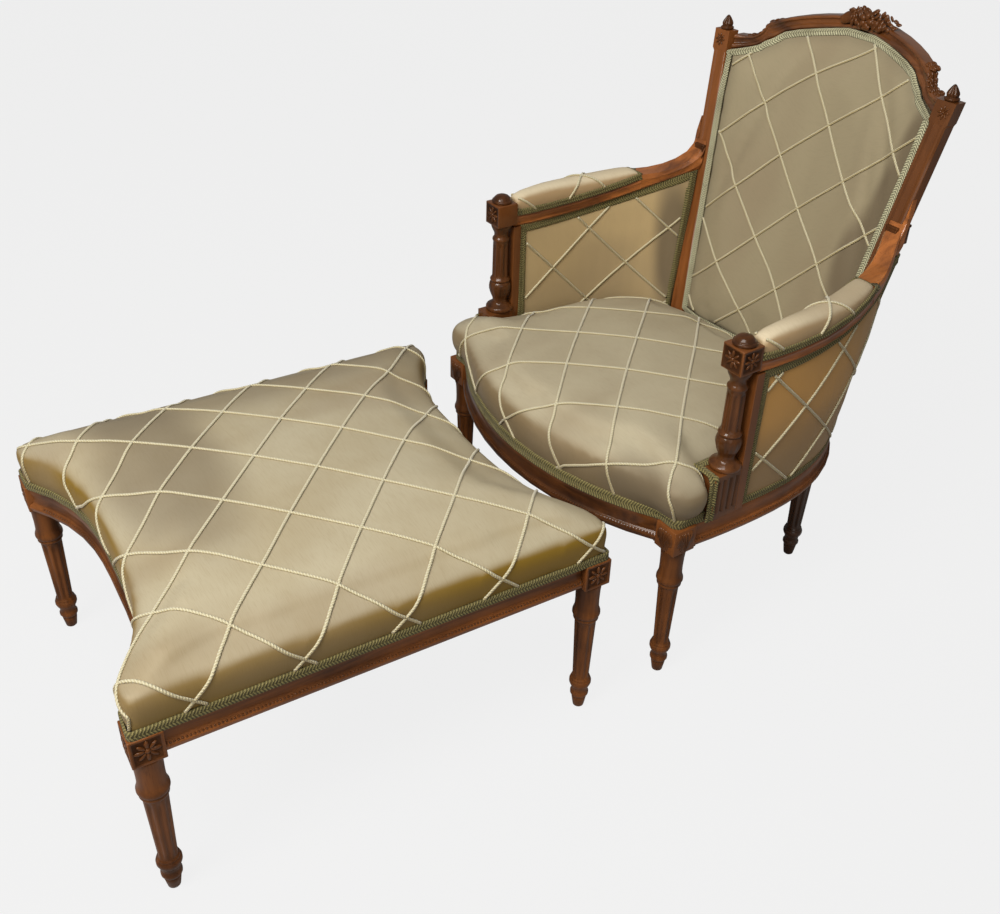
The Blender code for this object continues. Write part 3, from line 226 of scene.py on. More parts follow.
# Crossings of the footstool's cords, in the same way
STOOL_FRAME = ((-0.3624, -0.2214), (0.0786, 0.0817), (0.0882, -0.0827))
STOOL_NODES = (
    (1, 0, -0.286, -0.141), (2, 0, -0.218, -0.057), (3, 0, -0.143, 0.022), (4, 0, -0.063, 0.106),
    (5, 0, 0.020, 0.182), (6, 0, 0.098, 0.274), (-1, 1, -0.311, -0.371), (0, 1, -0.253, -0.306),
    (1, 1, -0.195, -0.227), (2, 1, -0.124, -0.145), (3, 1, -0.051, -0.060), (4, 1, 0.028, 0.021),
    (5, 1, 0.116, 0.098), (6, 1, 0.210, 0.183), (7, 1, 0.299, 0.272), (8, 1, 0.382, 0.363),
    (0, 2, -0.166, -0.375), (1, 2, -0.107, -0.299), (2, 2, -0.045, -0.225), (3, 2, 0.041, -0.147),
    (4, 2, 0.124, -0.067), (5, 2, 0.207, 0.018), (6, 2, 0.294, 0.104), (7, 2, 0.373, 0.188),
    (2, 3, 0.057, -0.304), (3, 3, 0.125, -0.233), (4, 3, 0.222, -0.149), (5, 3, 0.299, -0.060),
    (6, 3, 0.380, 0.020), (3, 4, 0.213, -0.314), (4, 4, 0.299, -0.228), (5, 4, 0.389, -0.140),
    (4, 5, 0.385, -0.300), (3, -1, -0.219, 0.102), (4, -1, -0.145, 0.184), (5, -1, -0.068, 0.278),
    (4, -2, -0.208, 0.267),
)
# Crossings of the cords of the back: line numbers, then place across and height
BACK_FRAME = ((-0.3049, 0.863), (0.0824, 0.0801), (0.0837, -0.0789))
BACK_NODES = (
    (0, 1, -0.222, 0.794), (0, 2, -0.145, 0.698), (0, 3, -0.065, 0.617), (0, 4, 0.036, 0.540),
    (1, 0, -0.206, 0.950), (1, 1, -0.150, 0.872), (1, 2, -0.073, 0.786), (1, 3, 0.003, 0.699),
    (1, 4, 0.117, 0.627), (2, 1, -0.056, 0.948), (2, 2, 0.011, 0.867), (2, 3, 0.097, 0.781),
    (2, 4, 0.203, 0.723), (3, 1, 0.055, 1.004), (3, 2, 0.112, 0.945), (3, 3, 0.199, 0.875),
    (-1, 3, -0.127, 0.541), (-1, 4, -0.030, 0.474),
)

# Lamps: name, place, what it looks at, size, watts
LAMPS = (
    ("window", (0.7, -2.9, 2.8), (0.1, -0.2, 0.5), (1.5, 1.3), 96),
    ("overhead", (0.9, -1.2, 2.8), (0.2, -0.4, 0.3), (1.4, 1.4), 58),
    ("fill", (3.0, -1.4, 1.6), (0.1, 0.1, 0.5), (1.8, 1.8), 9),
)
WORLD_LIGHT = 0.27
FLOOR_GLOW = 0.93
# Camera: turn, tip and roll in degrees, place in the chair's frame, lens in mm, shift
CAMERA_ANGLES = (54.095, 33.400, 2.153)
CAMERA_PLACE = (1.4294, -1.1471, 1.5509)
CAMERA_LENS = 40.32
CAMERA_SHIFT = (-0.0139, -0.0238)

# How far off a braid looks for the surface that it lies on, how closely its points follow each
# other, and the length of one turn of its threads
REACH = 0.030
BRAID_STEP = 0.0022
BRAID_TURN = 0.0066

# Cords: how closely their points follow each other, and points round them
CORD_STEP = 0.0035
CORD_COLUMNS = 8
# Places further off than this, across and along, are passed over
FAR_OFF = (0.5, 1.2)
# How far outside a cover the search for it starts, and how far it goes
PROBE_START = 0.12
PROBE_LENGTH = 0.15
# Lines of a trellis that are tried, and the steps along them as shares of a mesh
LINE_NUMBERS = range(-7, 13)
LINE_STEPS = range(-240, 400)
LINE_STEP = 0.03

# Height of the upper edge of seat and footstool, and how far their cords run down the sides
SEAT_EDGE, SEAT_SKIRT = 0.4223, 0.056
STOOL_EDGE, STOOL_SKIRT = 0.4183, 0.052
# Cords of the arm panels: one crossing, along and up, and half the distance between crossings
INNER_NODE = (0.300, 0.594)
OUTER_NODE = (0.251, 0.525)
PANEL_HALF = (0.088, 0.082)
PANEL_STEP = 0.003
INNER_DROOP = 0.085
# Cords of the arm pads: their middle and the distance from one crossing to the next
PAD_MIDDLE = 0.288
PAD_SPACING = 0.176
PAD_STEP = 0.0035
PAD_SLANT = 1.05
# They stay this far from a pad's ends and end this far below its crown
PAD_END = 0.008
PAD_SKIRT = 0.030
# How near a rim a cord may come, as a share of the gimp's width
BACK_MARGIN = 0.6
PANEL_MARGIN = 0.75

# How long the covers are blown up, and the strength of the air in them
SWELL_FRAMES = 20
AIR_PRESSURE = 4.0
# The cloth's settings, and how much of its sliding along itself is kept
CLOTH = {
    "quality": 4, "mass": 0.3, "tension_stiffness": 12, "compression_stiffness": 6, "bending_stiffness": 0.6,
}
SLIDE = 0.3
# Cells of the finer covers; how closely the gimp's line is followed for the darkening beside it, and how far
# from its gimp each cover is darkened by dust and painted shade
BACK_CELL = 0.0075
OUTER_BACK_CELL = 0.006
PANEL_CELL = 0.005
PAD_CELL = 0.0045
DUST_AND_SHADE_STEP = 0.006
SEAT_DUST_AND_SHADE = 0.075
STOOL_DUST_AND_SHADE = 0.060
BACK_DUST_AND_SHADE = 0.055
PANEL_DUST_AND_SHADE = 0.04
PAD_DUST_AND_SHADE = 0.035
# Above the rail, a cover's side is held this far up
HELD_STRIP = 0.014
# How far the seat's side, its front corners and the notches beside the posts swell, and where
SIDE_SWELL = 0.007
CORNER_SWELL = 0.020
NOTCH_LIFT = 0.012
CORNER = (0.335, 0.015, 0.07)
NOTCH = (0.325, 0.06, 0.075)
STOOL_SWELL = 0.006
# Height above the rail's edge where the swelling starts, and how much higher it is full
SWELL_START = 0.004
SWELL_RISE = 0.034

# The gimp beside a plinth: how far it lies in front of it and in from its sides, how far from the
# corner it bends, how far it lies above the top, and how wide it is against the rest
CORNER_FRONT = 0.004
CORNER_INSET = 0.004
CORNER_TAIL = 0.006
CORNER_BEND = 0.012
CORNER_LIFT = 0.001
CORNER_WIDTH = 0.8

# Band across a length of gimp: place, and height against its thickness
GIMP_BAND = (
    (0.0, -0.35), (0.04, 0.45), (0.14, 0.95), (0.30, 0.80), (0.42, 0.95), (0.50, 0.62), (0.58, 0.95),
    (0.70, 0.80), (0.86, 0.95), (0.96, 0.45), (1.0, -0.35),
)


def middle_of(*nodes):
    """Middle of the boxes of some CAD nodes, on the floor."""
    boxes = [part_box(node) for node in nodes]
    total = sum((low + high for low, high in boxes), Vector())
    centre = total / (2 * len(boxes))
    return Vector((centre.x, centre.y, 0))


CHAIR = Matrix.Translation(middle_of("chair_front_leg_left", "chair_front_leg_right"))
STOOL_LEFT = middle_of("stool_near_leg_left", "stool_far_leg_left")
STOOL_RIGHT = middle_of("stool_near_leg_right", "stool_far_leg_right")
STOOL_ACROSS = STOOL_RIGHT - STOOL_LEFT
STOOL_TURN = math.atan2(STOOL_ACROSS.y, STOOL_ACROSS.x)
STOOL = Matrix.Translation((STOOL_LEFT + STOOL_RIGHT) / 2) @ Matrix.Rotation(STOOL_TURN, 4, "Z")


def length_property(name, description, default):
    return bpy.props.FloatProperty(name=name, description=description, default=default, unit="LENGTH")


class ArmchairSizes(bpy.types.PropertyGroup):
    cord_radius: length_property("Cord radius", "Half the thickness of the trellis cord", 0.0027)
    gimp_width: length_property("Gimp width", "Width of the braid along every edge", 0.0185)
    gimp_thickness: length_property("Gimp thickness", "How far the braid stands up", 0.0030)
    bead_radius: length_property("Bead radius", "Half the width of a carved bead", 0.0023)
    bead_pitch: length_property("Bead pitch", "Distance from bead to bead", 0.0058)
    voxel: length_property("Cover detail", "Size of the cells that a cover is remeshed in", 0.009)


def colour_property(name, description, default):
    return bpy.props.FloatVectorProperty(
        name=name, description=description, default=default, size=4, subtype="COLOR", min=0, max=1)


class ArmchairColours(bpy.types.PropertyGroup):
    walnut_light: colour_property("Light walnut", "Rubbed and lit wood", (0.175, 0.056, 0.013, 1))
    walnut_dark: colour_property("Dark walnut", "Old polish in the hollows", (0.042, 0.013, 0.004, 1))
    # Cloth lying flat and cloth standing up are lit and shaded copies of one satin: painted light and shade
    # by which way a surface faces. The tones for the sides of the seat and the pads and for the back are
    # shaded copies; the pads' top is a lit copy.
    satin_level: colour_property("Satin lying flat", "Cloth where it faces up", (0.376, 0.324, 0.218, 1))
    satin_upright: colour_property("Satin standing up", "Cloth on the sides", (0.180, 0.104, 0.012, 1))
    satin_back: colour_property("Satin of the back", "Cloth on the leaning back", (0.262, 0.215, 0.130, 1))
    satin_seat: colour_property(
        "Satin of the seat's sides", "Cloth below the seat's edge", (0.190, 0.135, 0.070, 1))
    satin_pad: colour_property("Satin of the pads' sides", "Cloth beside the pads", (0.330, 0.220, 0.110, 1))
    satin_pad_top: colour_property("Satin of the pads", "Cloth on the arm pads", (0.570, 0.480, 0.325, 1))
    satin_inner: colour_property(
        "Satin inside the arms", "Cloth of the inner panels", (0.430, 0.310, 0.152, 1))
    satin_outer: colour_property(
        "Satin outside the arms", "Cloth of the outer panels", (0.440, 0.232, 0.066, 1))
    # Cord lying flat and cord standing up are lit and shaded copies of one cord: painted light and shade by
    # facing.
    cord_lit_level: colour_property("Cord lying flat", "Cord where it faces up", (0.56, 0.51, 0.34, 1))
    cord_shaded_upright: colour_property("Cord standing up", "Cord on the sides", (0.34, 0.26, 0.11, 1))
    gimp_light: colour_property("Light gimp thread", "Raised threads of the braid", (0.21, 0.172, 0.062, 1))
    gimp_pale: colour_property("Pale gimp thread", "Raised threads on the back", (0.50, 0.465, 0.285, 1))
    gimp_dark: colour_property("Dark gimp thread", "Ground of the braid", (0.075, 0.060, 0.024, 1))
    # A darker copy of this tone colours the painted shade patches.
    satin_taupe: colour_property("Satin in shade", "Cloth where the nap turns", (0.215, 0.162, 0.098, 1))
    floor: colour_property("Floor", "Studio floor and backdrop", (0.905, 0.905, 0.905, 1))
    floor_shade: colour_property("Floor underside", "Light that the floor gives back", (0.40, 0.39, 0.38, 1))


# Materials

# Turns of the plies of a cord and of the threads of the gimp, for each metre, and the threads' slant
CORD_TWIST = 1250.0
GIMP_TWIST = 1200.0
GIMP_SLANT = 13.0


class Field:
    """A value that varies over a surface; arithmetic on it adds Math nodes."""

    def __init__(self, paint, socket):
        self.paint = paint
        self.socket = socket

    def calculate(self, operation, first, second):
        return self.paint.node("ShaderNodeMath", {"operation": operation}, {0: first, 1: second})

    def __add__(self, other):
        return self.calculate("ADD", self, other)

    def __radd__(self, other):
        return self.calculate("ADD", other, self)

    def __sub__(self, other):
        return self.calculate("SUBTRACT", self, other)

    def __rsub__(self, other):
        return self.calculate("SUBTRACT", other, self)

    def __mul__(self, other):
        return self.calculate("MULTIPLY", self, other)

    def __rmul__(self, other):
        return self.calculate("MULTIPLY", other, self)


class Paint:
    """A material being made: its shader, and one method for any other node."""

    def __init__(self, name, **constants):
        self.material = bpy.data.materials.new(name)
        self.material.use_nodes = True
        self.tree = self.material.node_tree
        self.shader = self.tree.nodes["Principled BSDF"]
        for socket, value in constants.items():
            self.shader.inputs[socket.replace("_", " ")].default_value = value

    def feed(self, socket, value):
        if isinstance(value, Field):
            self.tree.links.new(value.socket, socket)
        else:
            socket.default_value = value

    def node(self, kind, settings, values, output=0):
        node = self.tree.nodes.new(kind)
        for key, value in settings.items():
            if key == "stops":
                ramp = node.color_ramp
                while len(ramp.elements) < len(value):
                    ramp.elements.new(0.5)
                for element, (place, colour) in zip(ramp.elements, value):
                    element.position = place
                    element.color = colour
            else:
                setattr(node, key, value)
        for key, value in values.items():
            self.feed(node.inputs[key], value)
        return Field(self, node.outputs[output])

    def set(self, name, field):
        self.feed(self.shader.inputs[name], field)

    def place(self, scale):
        """Object coordinates stretched by scale."""
        own = self.node("ShaderNodeTexCoord", {}, {}, "Object")
        return self.node("ShaderNodeMapping", {}, {"Vector": own, "Scale": scale})

    def grain(self, scale, size, detail=4.0, rough=0.5, warp=0.0):
        where = self.place(scale)
        return self.node("ShaderNodeTexNoise", {}, {
            "Vector": where, "Scale": size, "Detail": detail, "Roughness": rough, "Distortion": warp})

    def ramp(self, field, low, high):
        return self.node("ShaderNodeMapRange", {"interpolation_type": "SMOOTHSTEP"}, {
            "Value": field, "From Min": low, "From Max": high, "To Min": 0.0, "To Max": 1.0})

    def blend(self, share, first, second, kind="MIX"):
        node = self.tree.nodes.new("ShaderNodeMix")
        node.data_type = "RGBA"
        node.blend_type = kind
        self.feed(node.inputs[0], share)
        self.feed(node.inputs[6], first)
        self.feed(node.inputs[7], second)
        return Field(self, node.outputs[2])

    def bump(self, height, strength, distance):
        self.set("Normal", self.node("ShaderNodeBump", {}, {
            "Strength": strength, "Distance": distance, "Height": height}))

    def facing_up(self):
        normal = self.node("ShaderNodeNewGeometry", {}, {}, "Normal")
        return self.node("ShaderNodeSeparateXYZ", {}, {"Vector": normal}, "Z")

    def attribute(self, name, output):
        return self.node("ShaderNodeAttribute", {"attribute_name": name}, {}, output)

    def strand(self):
        """How far along its length and how far round it a point of a cord or braid lies."""
        measures = self.attribute("strand", "Vector")
        return [self.node("ShaderNodeSeparateXYZ", {}, {"Vector": measures}, axis) for axis in "XY"]

    def wave(self, turn):
        return self.node("ShaderNodeMath", {"operation": "SINE"}, {0: turn}) * 0.5 + 0.5


def tones():
    return bpy.context.scene.armchair_colours


def sizes():
    return bpy.context.scene.armchair_sizes


def tinted(colour, share):
    return tuple(channel * share for channel in colour[:3]) + (1.0,)


def make_walnut(name, along, shade, gloss, rubbed):
    """Polished walnut whose grain runs along one axis; hollows hold old polish, edges are rubbed."""
    paint = Paint(name, Coat_Roughness=0.10, Specular_IOR_Level=0.16, Specular_Tint=(1.0, 0.72, 0.46, 1))
    stretch = [34.0, 34.0, 34.0]
    stretch["XYZ".index(along)] = 2.2
    figure = paint.grain(stretch, 1.0, 6.0, 0.6, 0.9)
    cloud = paint.grain((1, 1, 1), 9.0, 3.0)
    pores = [520.0, 520.0, 520.0]
    pores["XYZ".index(along)] = 34.0
    pore = paint.grain(pores, 1.0, 2.0)
    light = tinted(tones().walnut_light, shade)
    dark = tinted(tones().walnut_dark, shade)
    tone = paint.ramp(figure * 0.65 + cloud * 0.45, 0.36, 0.74)
    body = paint.blend(tone, dark, light)
    streak = paint.ramp(pore, 0.55, 0.72)
    body = paint.blend(streak * 0.45, body, dark)
    worn = paint.node("ShaderNodeNewGeometry", {}, {}, "Pointiness")
    hollow = 1 - paint.ramp(worn, 0.40, 0.495)
    edge = paint.ramp(worn, 0.52, 0.60)
    body = paint.blend(hollow * 0.75, body, tinted(tones().walnut_dark, 0.55))
    body = paint.blend(edge * rubbed, body, tinted(tones().walnut_light, 1.35))
    paint.set("Base Color", body)
    paint.set("Roughness", 0.34 + cloud * 0.16 + hollow * 0.2)
    paint.set("Coat Weight", gloss - hollow * (gloss * 0.8))
    paint.bump(pore * 0.6 + figure * 0.4, 0.22, 0.0006)
    return paint.material


def make_satin(name, upright, lit_level_tone, patches):
    """Worn satin: pale where it lies flat and browner where it stands, as painted light and shade; darker
    next to the gimp from dust and painted shade.

    A patch has its middle, its reach each way and how much darker it makes the satin there: painted shade,
    and on the outer arm panels darker towards the bottom.
    """
    paint = Paint(
        name, Sheen_Weight=0.06, Sheen_Roughness=0.35, Sheen_Tint=(1.0, 0.9, 0.7, 1), Specular_IOR_Level=0.30,
        Specular_Tint=(1.0, 0.84, 0.58, 1))
    # Painted light and shade: the lit tone where the cloth faces up, the shaded tone where it stands.
    level = paint.ramp(paint.facing_up(), 0.42, 0.92)
    cloud = paint.grain((1, 1, 1), 7.0, 3.0)
    nap = paint.grain((5.5, 1.6, 3.0), 1.0, 2.0)
    thread = paint.grain((28, 28, 900), 1.0, 2.0)
    weft = paint.grain((900, 900, 60), 1.0, 2.0)
    cross = paint.grain((55, 1100, 55), 1.0, 2.0)
    body = paint.blend(level, upright, lit_level_tone)
    # Painted sheen: streaks where the nap turns are darker taupe, as satin looks where its sheen turns away.
    body = paint.blend(paint.ramp(nap, 0.42, 0.66) * 0.5, body, tones().satin_taupe)
    body = paint.blend(paint.ramp(cloud, 0.3, 0.75) * 0.22, body, tinted(upright, 0.9))
    body = paint.blend(paint.ramp(cross, 0.45, 0.75) * 0.16, body, tinted(upright, 0.7))
    near = 1 - paint.attribute("edge", "Fac")
    for middle, reach, share in patches:
        away = paint.node("ShaderNodeVectorMath", {"operation": "SUBTRACT"}, {
            0: paint.place((1, 1, 1)), 1: middle})
        away = paint.node("ShaderNodeVectorMath", {"operation": "DIVIDE"}, {0: away, 1: reach})
        away = paint.node("ShaderNodeVectorMath", {"operation": "LENGTH"}, {0: away}, "Value")
        # Each patch darkens the satin towards a darker taupe: painted shade, and on the outer arm panels
        # darker towards the bottom.
        turned = 1 - paint.ramp(away + cloud * 0.3, 0.65, 1.35)
        body = paint.blend(turned * share, body, tinted(tones().satin_taupe, 0.6))
    # Darker next to the gimp: dust and painted shade.
    body = paint.blend(paint.ramp(near, 0.3, 1.0) * 0.42, body, tinted(upright, 0.42))
    paint.set("Base Color", body)
    paint.set("Roughness", 0.40 + cloud * 0.14 + near * 0.12)
    paint.bump(thread * 0.5 + weft * 0.5 + cross * 0.6, 0.16, 0.0005)
    return paint.material


def make_cord_finish():
    """Two-ply cord; the plies turn round it along its own strand measure."""
    paint = Paint("cream_cord", Sheen_Weight=0.3)
    along, around = paint.strand()
    ply = paint.wave(along * CORD_TWIST + around * (4 * math.pi))
    # Painted light and shade: the lit tone where the cord faces up, the shaded tone where it stands.
    level = paint.ramp(paint.facing_up(), -0.15, 0.75)
    body = paint.blend(level, tones().cord_shaded_upright, tones().cord_lit_level)
    # Painted shade in the grooves between the plies.
    body = paint.blend((1 - ply) * 0.5, body, tinted(tones().cord_shaded_upright, 0.7))
    body = paint.blend(paint.grain((1, 1, 1), 60.0) * 0.25, body, tones().cord_shaded_upright)
    paint.set("Base Color", body)
    paint.set("Roughness", 0.55 + ply * 0.1)
    paint.bump(ply, 0.8, 0.0009)
    return paint.material


def make_gimp_finish(name, light):
    """Braided gimp: two rows of slanted threads that meet in the middle."""
    paint = Paint(name, Sheen_Weight=0.05, Specular_IOR_Level=0.15)
    along, across = paint.strand()
    slant = paint.node("ShaderNodeMath", {"operation": "ABSOLUTE"}, {0: across - 0.5})
    thread = paint.wave(along * GIMP_TWIST + slant * GIMP_SLANT)
    loose = paint.grain((1, 1, 1), 420.0, 3.0)
    cloud = paint.grain((1, 1, 1), 16.0)
    raised = paint.ramp(thread * 0.7 + loose * 0.5, 0.42, 0.85)
    body = paint.blend(raised, tinted(light, 0.30), light)
    # Painted light: the braid is lighter where it faces up.
    body = paint.blend(paint.ramp(paint.facing_up(), -0.2, 0.9) * 0.2, body, light)
    body = paint.blend(paint.ramp(cloud, 0.45, 0.7) * 0.3, body, tones().gimp_dark)
    paint.set("Base Color", body)
    paint.set("Roughness", 0.72 - raised * 0.15)
    paint.bump(thread + loose * 0.5, 0.9, 0.0012)
    return paint.material


def make_jute():
    paint = Paint("jute_webbing", Specular_IOR_Level=0.2)
    warp, weft = (
        paint.node("ShaderNodeTexWave", {"bands_direction": axis}, {
            "Vector": paint.place((1, 1, 1)), "Scale": 160.0, "Distortion": 1.5})
        for axis in "XY")
    weave = warp * weft
    body = paint.blend(weave, (0.16, 0.10, 0.05, 1), (0.40, 0.28, 0.15, 1))
    paint.set("Base Color", paint.blend(paint.grain((1, 1, 1), 22.0) * 0.5, body, (0.2, 0.13, 0.07, 1)))
    paint.set("Roughness", 0.85 + weave * 0.1)
    paint.bump(weave, 0.6, 0.0008)
    return paint.material


def make_spring_steel():
    paint = Paint("spring_steel", Metallic=1.0)
    rust = paint.ramp(paint.grain((1, 1, 1), 140.0, 5.0), 0.48, 0.72)
    paint.set("Base Color", paint.blend(rust, (0.36, 0.36, 0.37, 1), (0.20, 0.11, 0.06, 1)))
    paint.set("Roughness", 0.35 + rust * 0.4)
    paint.bump(rust, 0.2, 0.0003)
    return paint.material


# Finishes of wood: the grain's axis, shade, gloss, how far the edges are rubbed
WALNUTS = {
    "walnut_upright": ("Z", 0.92, 0.12, 0.5),
    "walnut_across": ("X", 1.0, 0.22, 0.5),
    "walnut_lengthwise": ("Y", 1.25, 0.22, 0.5),
    "walnut_carved": ("Z", 0.5, 0.22, 0.2),
    "walnut_post": ("Z", 0.52, 0.42, 0.5),
    "walnut_seat_rail": ("X", 0.62, 0.4, 0.5),
    "walnut_top_rail": ("X", 0.95, 1.0, 0.5),
    # Arm rails: a copy more than twice as light, painted light.
    "walnut_arm_rail": ("Y", 2.2, 0.6, 0.5),
    # The right stile: a darker copy of the left stile's walnut, painted shade.
    "walnut_stile_dark": ("Z", 0.42, 0.7, 0.25),
    "walnut_crest": ("Z", 0.36, 0.3, 0.3),
    "walnut_stile": ("Z", 1.05, 0.5, 0.5),
}
# Finishes of cloth: the colours of what stands and of what lies (painted shade and painted light), and the
# patches
SATINS = {
    "satin_back": ("satin_back", "satin_level", BACK_SHADE_PATCHES),
    "satin_stool": ("satin_upright", "satin_level", STOOL_SHADE_PATCHES),
    "satin_seat": ("satin_seat", "satin_level", SEAT_SHADE_PATCHES),
    "satin_pad": ("satin_pad", "satin_pad_top", ()),
    "satin_inner": ("satin_inner", "satin_inner", INNER_SHADE_PATCHES),
    "satin_outer": ("satin_outer", "satin_level", OUTER_PATCHES),
}
# Finishes of gimp: the colour of the raised threads
GIMPS = {"gimp_olive": "gimp_light", "gimp_pale": "gimp_pale"}
OTHERS = {"cord": make_cord_finish, "jute": make_jute, "steel": make_spring_steel}
made_finishes = {}


def make_finish(name):
    if name in WALNUTS:
        return make_walnut(name, *WALNUTS[name])
    if name in SATINS:
        upright, lit_level_tone, patches = SATINS[name]
        return make_satin(name, getattr(tones(), upright), getattr(tones(), lit_level_tone), patches)
    if name in GIMPS:
        return make_gimp_finish(name, getattr(tones(), GIMPS[name]))
    return OTHERS[name]()


def finish(name):
    if name not in made_finishes:
        made_finishes[name] = make_finish(name)
    return made_finishes[name]


# Pieces

def add_piece(name, bm, look, *nodes):
    """A piece from a bmesh, riding on the one body, in place of the CAD nodes named."""
    mesh = bpy.data.meshes.new(name)
    bm.to_mesh(mesh)
    bm.free()
    mesh.materials.append(finish(look))
    mesh.shade_smooth()
    piece = bpy.data.objects.new(name, mesh)
    bpy.context.scene.collection.objects.link(piece)
    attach(piece, "root")
    "satin" if look.split("_")[0] in ("satin", "cord", "gimp") else "walnut"
    if nodes:
        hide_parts(*nodes)
    return piece


def merged_copy(node):
    bm = bmesh.new()
    bm.from_mesh(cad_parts[node].data)
    bmesh.ops.remove_doubles(bm, verts=bm.verts, dist=WELD)
    bm.normal_update()
    return bm


def tree_of(piece):
    """The finished surface of a piece, for laying things on it."""
    shapes = bpy.context.evaluated_depsgraph_get()
    evaluated = piece.evaluated_get(shapes)
    bm = bmesh.new()
    bm.from_mesh(evaluated.to_mesh())
    tree = BVHTree.FromBMesh(bm)
    bm.free()
    evaluated.to_mesh_clear()
    return tree


def node_tree(node):
    bm = merged_copy(node)
    tree = BVHTree.FromBMesh(bm)
    bm.free()
    return tree


def sweep(bm, rows, path_closed, round_closed, strand=None):
    """Extrudes the first row of points into all the others; strand gives each point its measures."""
    column = [bm.verts.new(point) for point in rows[0]]
    layer = bm.verts.layers.float_vector.get("strand") if strand else None
    ends = column[1:] + (column[:1] if path_closed else [])
    edges = [bm.edges.new(pair) for pair in zip(column, ends)]
    first_edges = list(edges)
    if strand:
        for vert, measure in zip(column, strand[0]):
            vert[layer] = measure
    for number, row in enumerate(rows[1:], 1):
        made = bmesh.ops.extrude_edge_only(bm, edges=edges)["geom"]
        fresh = {item for item in made if isinstance(item, bmesh.types.BMVert)}
        column = [
            next(edge.other_vert(vert) for edge in vert.link_edges if edge.other_vert(vert) in fresh)
            for vert in column
        ]
        for vert, point in zip(column, row):
            vert.co = point
        if strand:
            for vert, measure in zip(column, strand[number]):
                vert[layer] = measure
        edges = [
            item for item in made
            if isinstance(item, bmesh.types.BMEdge) and item.verts[0] in fresh and item.verts[1] in fresh
        ]
    if round_closed:
        bmesh.ops.bridge_loops(bm, edges=first_edges + edges)


def strand_mesh():
    """An empty bmesh whose points can keep their measures along and round a strand."""
    bm = bmesh.new()
    bm.verts.layers.float_vector.new("strand")
    return bm


def join_into(bm, other):
    """Moves all of another bmesh into bm."""
    mesh = bpy.data.meshes.new("joined")
    other.to_mesh(mesh)
    other.free()
    bm.from_mesh(mesh)
    bpy.data.meshes.remove(mesh)


def cut_at(bm, z, up, clear=False):
    """Cuts a bmesh at one height; what lies beyond the cut can go."""
    whole = bm.verts[:] + bm.edges[:] + bm.faces[:]
    return bmesh.ops.bisect_plane(
        bm, geom=whole, plane_co=(0, 0, z), plane_no=(0, 0, up), clear_outer=clear)["geom_cut"]


def ease_edges(bm, edges, offset, segments=2, clamp=False):
    bmesh.ops.bevel(
        bm, geom=list(edges), offset=offset, segments=segments, profile=0.5, affect="EDGES", material=-1,
        clamp_overlap=clamp)


def ease_sharp(bm, ease):
    ease_edges(bm, [e for e in bm.edges if e.is_manifold and e.calc_face_angle() > SHARP], ease, clamp=True)


def make_flats_whole(bm):
    bmesh.ops.dissolve_limit(bm, angle_limit=ONE_PLANE, verts=bm.verts, edges=bm.edges)


def add_wood(bm, look, node):
    """A wooden piece in place of one CAD node, shaded by its larger faces."""
    piece = add_piece(node + "_wood", bm, look, node)
    even = piece.modifiers.new("even shading", "WEIGHTED_NORMAL")
    even.keep_sharp = False


def add_lump(bm, place, subdivisions=2):
    bmesh.ops.create_icosphere(bm, subdivisions=subdivisions, radius=1.0, matrix=place)


def smooth(bm, verts, steps):
    for _ in range(steps):
        bmesh.ops.smooth_vert(bm, verts=verts, factor=0.5, use_axis_x=True, use_axis_y=True, use_axis_z=True)


def close_up(bm):
    rim = [edge for edge in bm.edges if edge.is_boundary]
    if rim:
        bmesh.ops.holes_fill(bm, edges=rim, sides=0)
    bmesh.ops.recalc_face_normals(bm, faces=bm.faces)


def chains(edges):
    """Edges joined end to end, as lists of points; the longest chain comes first."""
    near = {}
    for edge in edges:
        for vert in edge.verts:
            near.setdefault(vert, []).append(edge)
    left = set(edges)
    found = []
    while left:
        edge = min(left, key=lambda item: item.index)
        left.discard(edge)
        chain = list(edge.verts)
        grown = True
        while grown:
            grown = False
            for onward in near[chain[-1]]:
                if onward in left:
                    left.discard(onward)
                    chain.append(onward.other_vert(chain[-1]))
                    grown = True
                    break
        found.append([vert.co.copy() for vert in chain])
    return sorted(found, key=length_of, reverse=True)


def length_of(points):
    return sum((b - a).length for a, b in zip(points, points[1:]))


def resampled(points, step, closed):
    """Evenly spaced points along a line, with their distances from its start."""
    line = list(points)
    if closed and (line[0] - line[-1]).length > WELD:
        line.append(line[0])
    total = length_of(line)
    count = max(round(total / step), 2)
    spaced = []
    marks = []
    walked = 0.0
    index = 0
    for number in range(count if closed else count + 1):
        target = total * number / count
        while index < len(line) - 2 and walked + (line[index + 1] - line[index]).length < target:
            walked += (line[index + 1] - line[index]).length
            index += 1
        span = max((line[index + 1] - line[index]).length, WELD)
        spaced.append(line[index].lerp(line[index + 1], min((target - walked) / span, 1)))
        marks.append(target)
    return spaced, marks


def rim_of(node, toward, share=0.35):
    """Longest closed edge line round the faces of a CAD node that look one way, left-handed to it."""
    bm = merged_copy(node)
    bm.edges.index_update()
    shown = {face for face in bm.faces if face.normal.dot(toward) > share}
    edges = [edge for edge in bm.edges if sum(face in shown for face in edge.link_faces) == 1]
    line = chains(edges)[0]
    bm.free()
    if (line[0] - line[-1]).length < WELD:
        line.pop()
    area = sum((a.cross(b) for a, b in zip(line, line[1:] + line[:1])), Vector())
    return line if area.dot(toward) > 0 else list(reversed(line))


def inside(point, outline):
    """Whether a plan point lies inside a plan outline."""
    crossings = 0
    for a, b in zip(outline, outline[1:] + outline[:1]):
        if (a[1] > point[1]) != (b[1] > point[1]):
            if point[0] < a[0] + (b[0] - a[0]) * (point[1] - a[1]) / (b[1] - a[1]):
                crossings += 1
    return crossings % 2 == 1


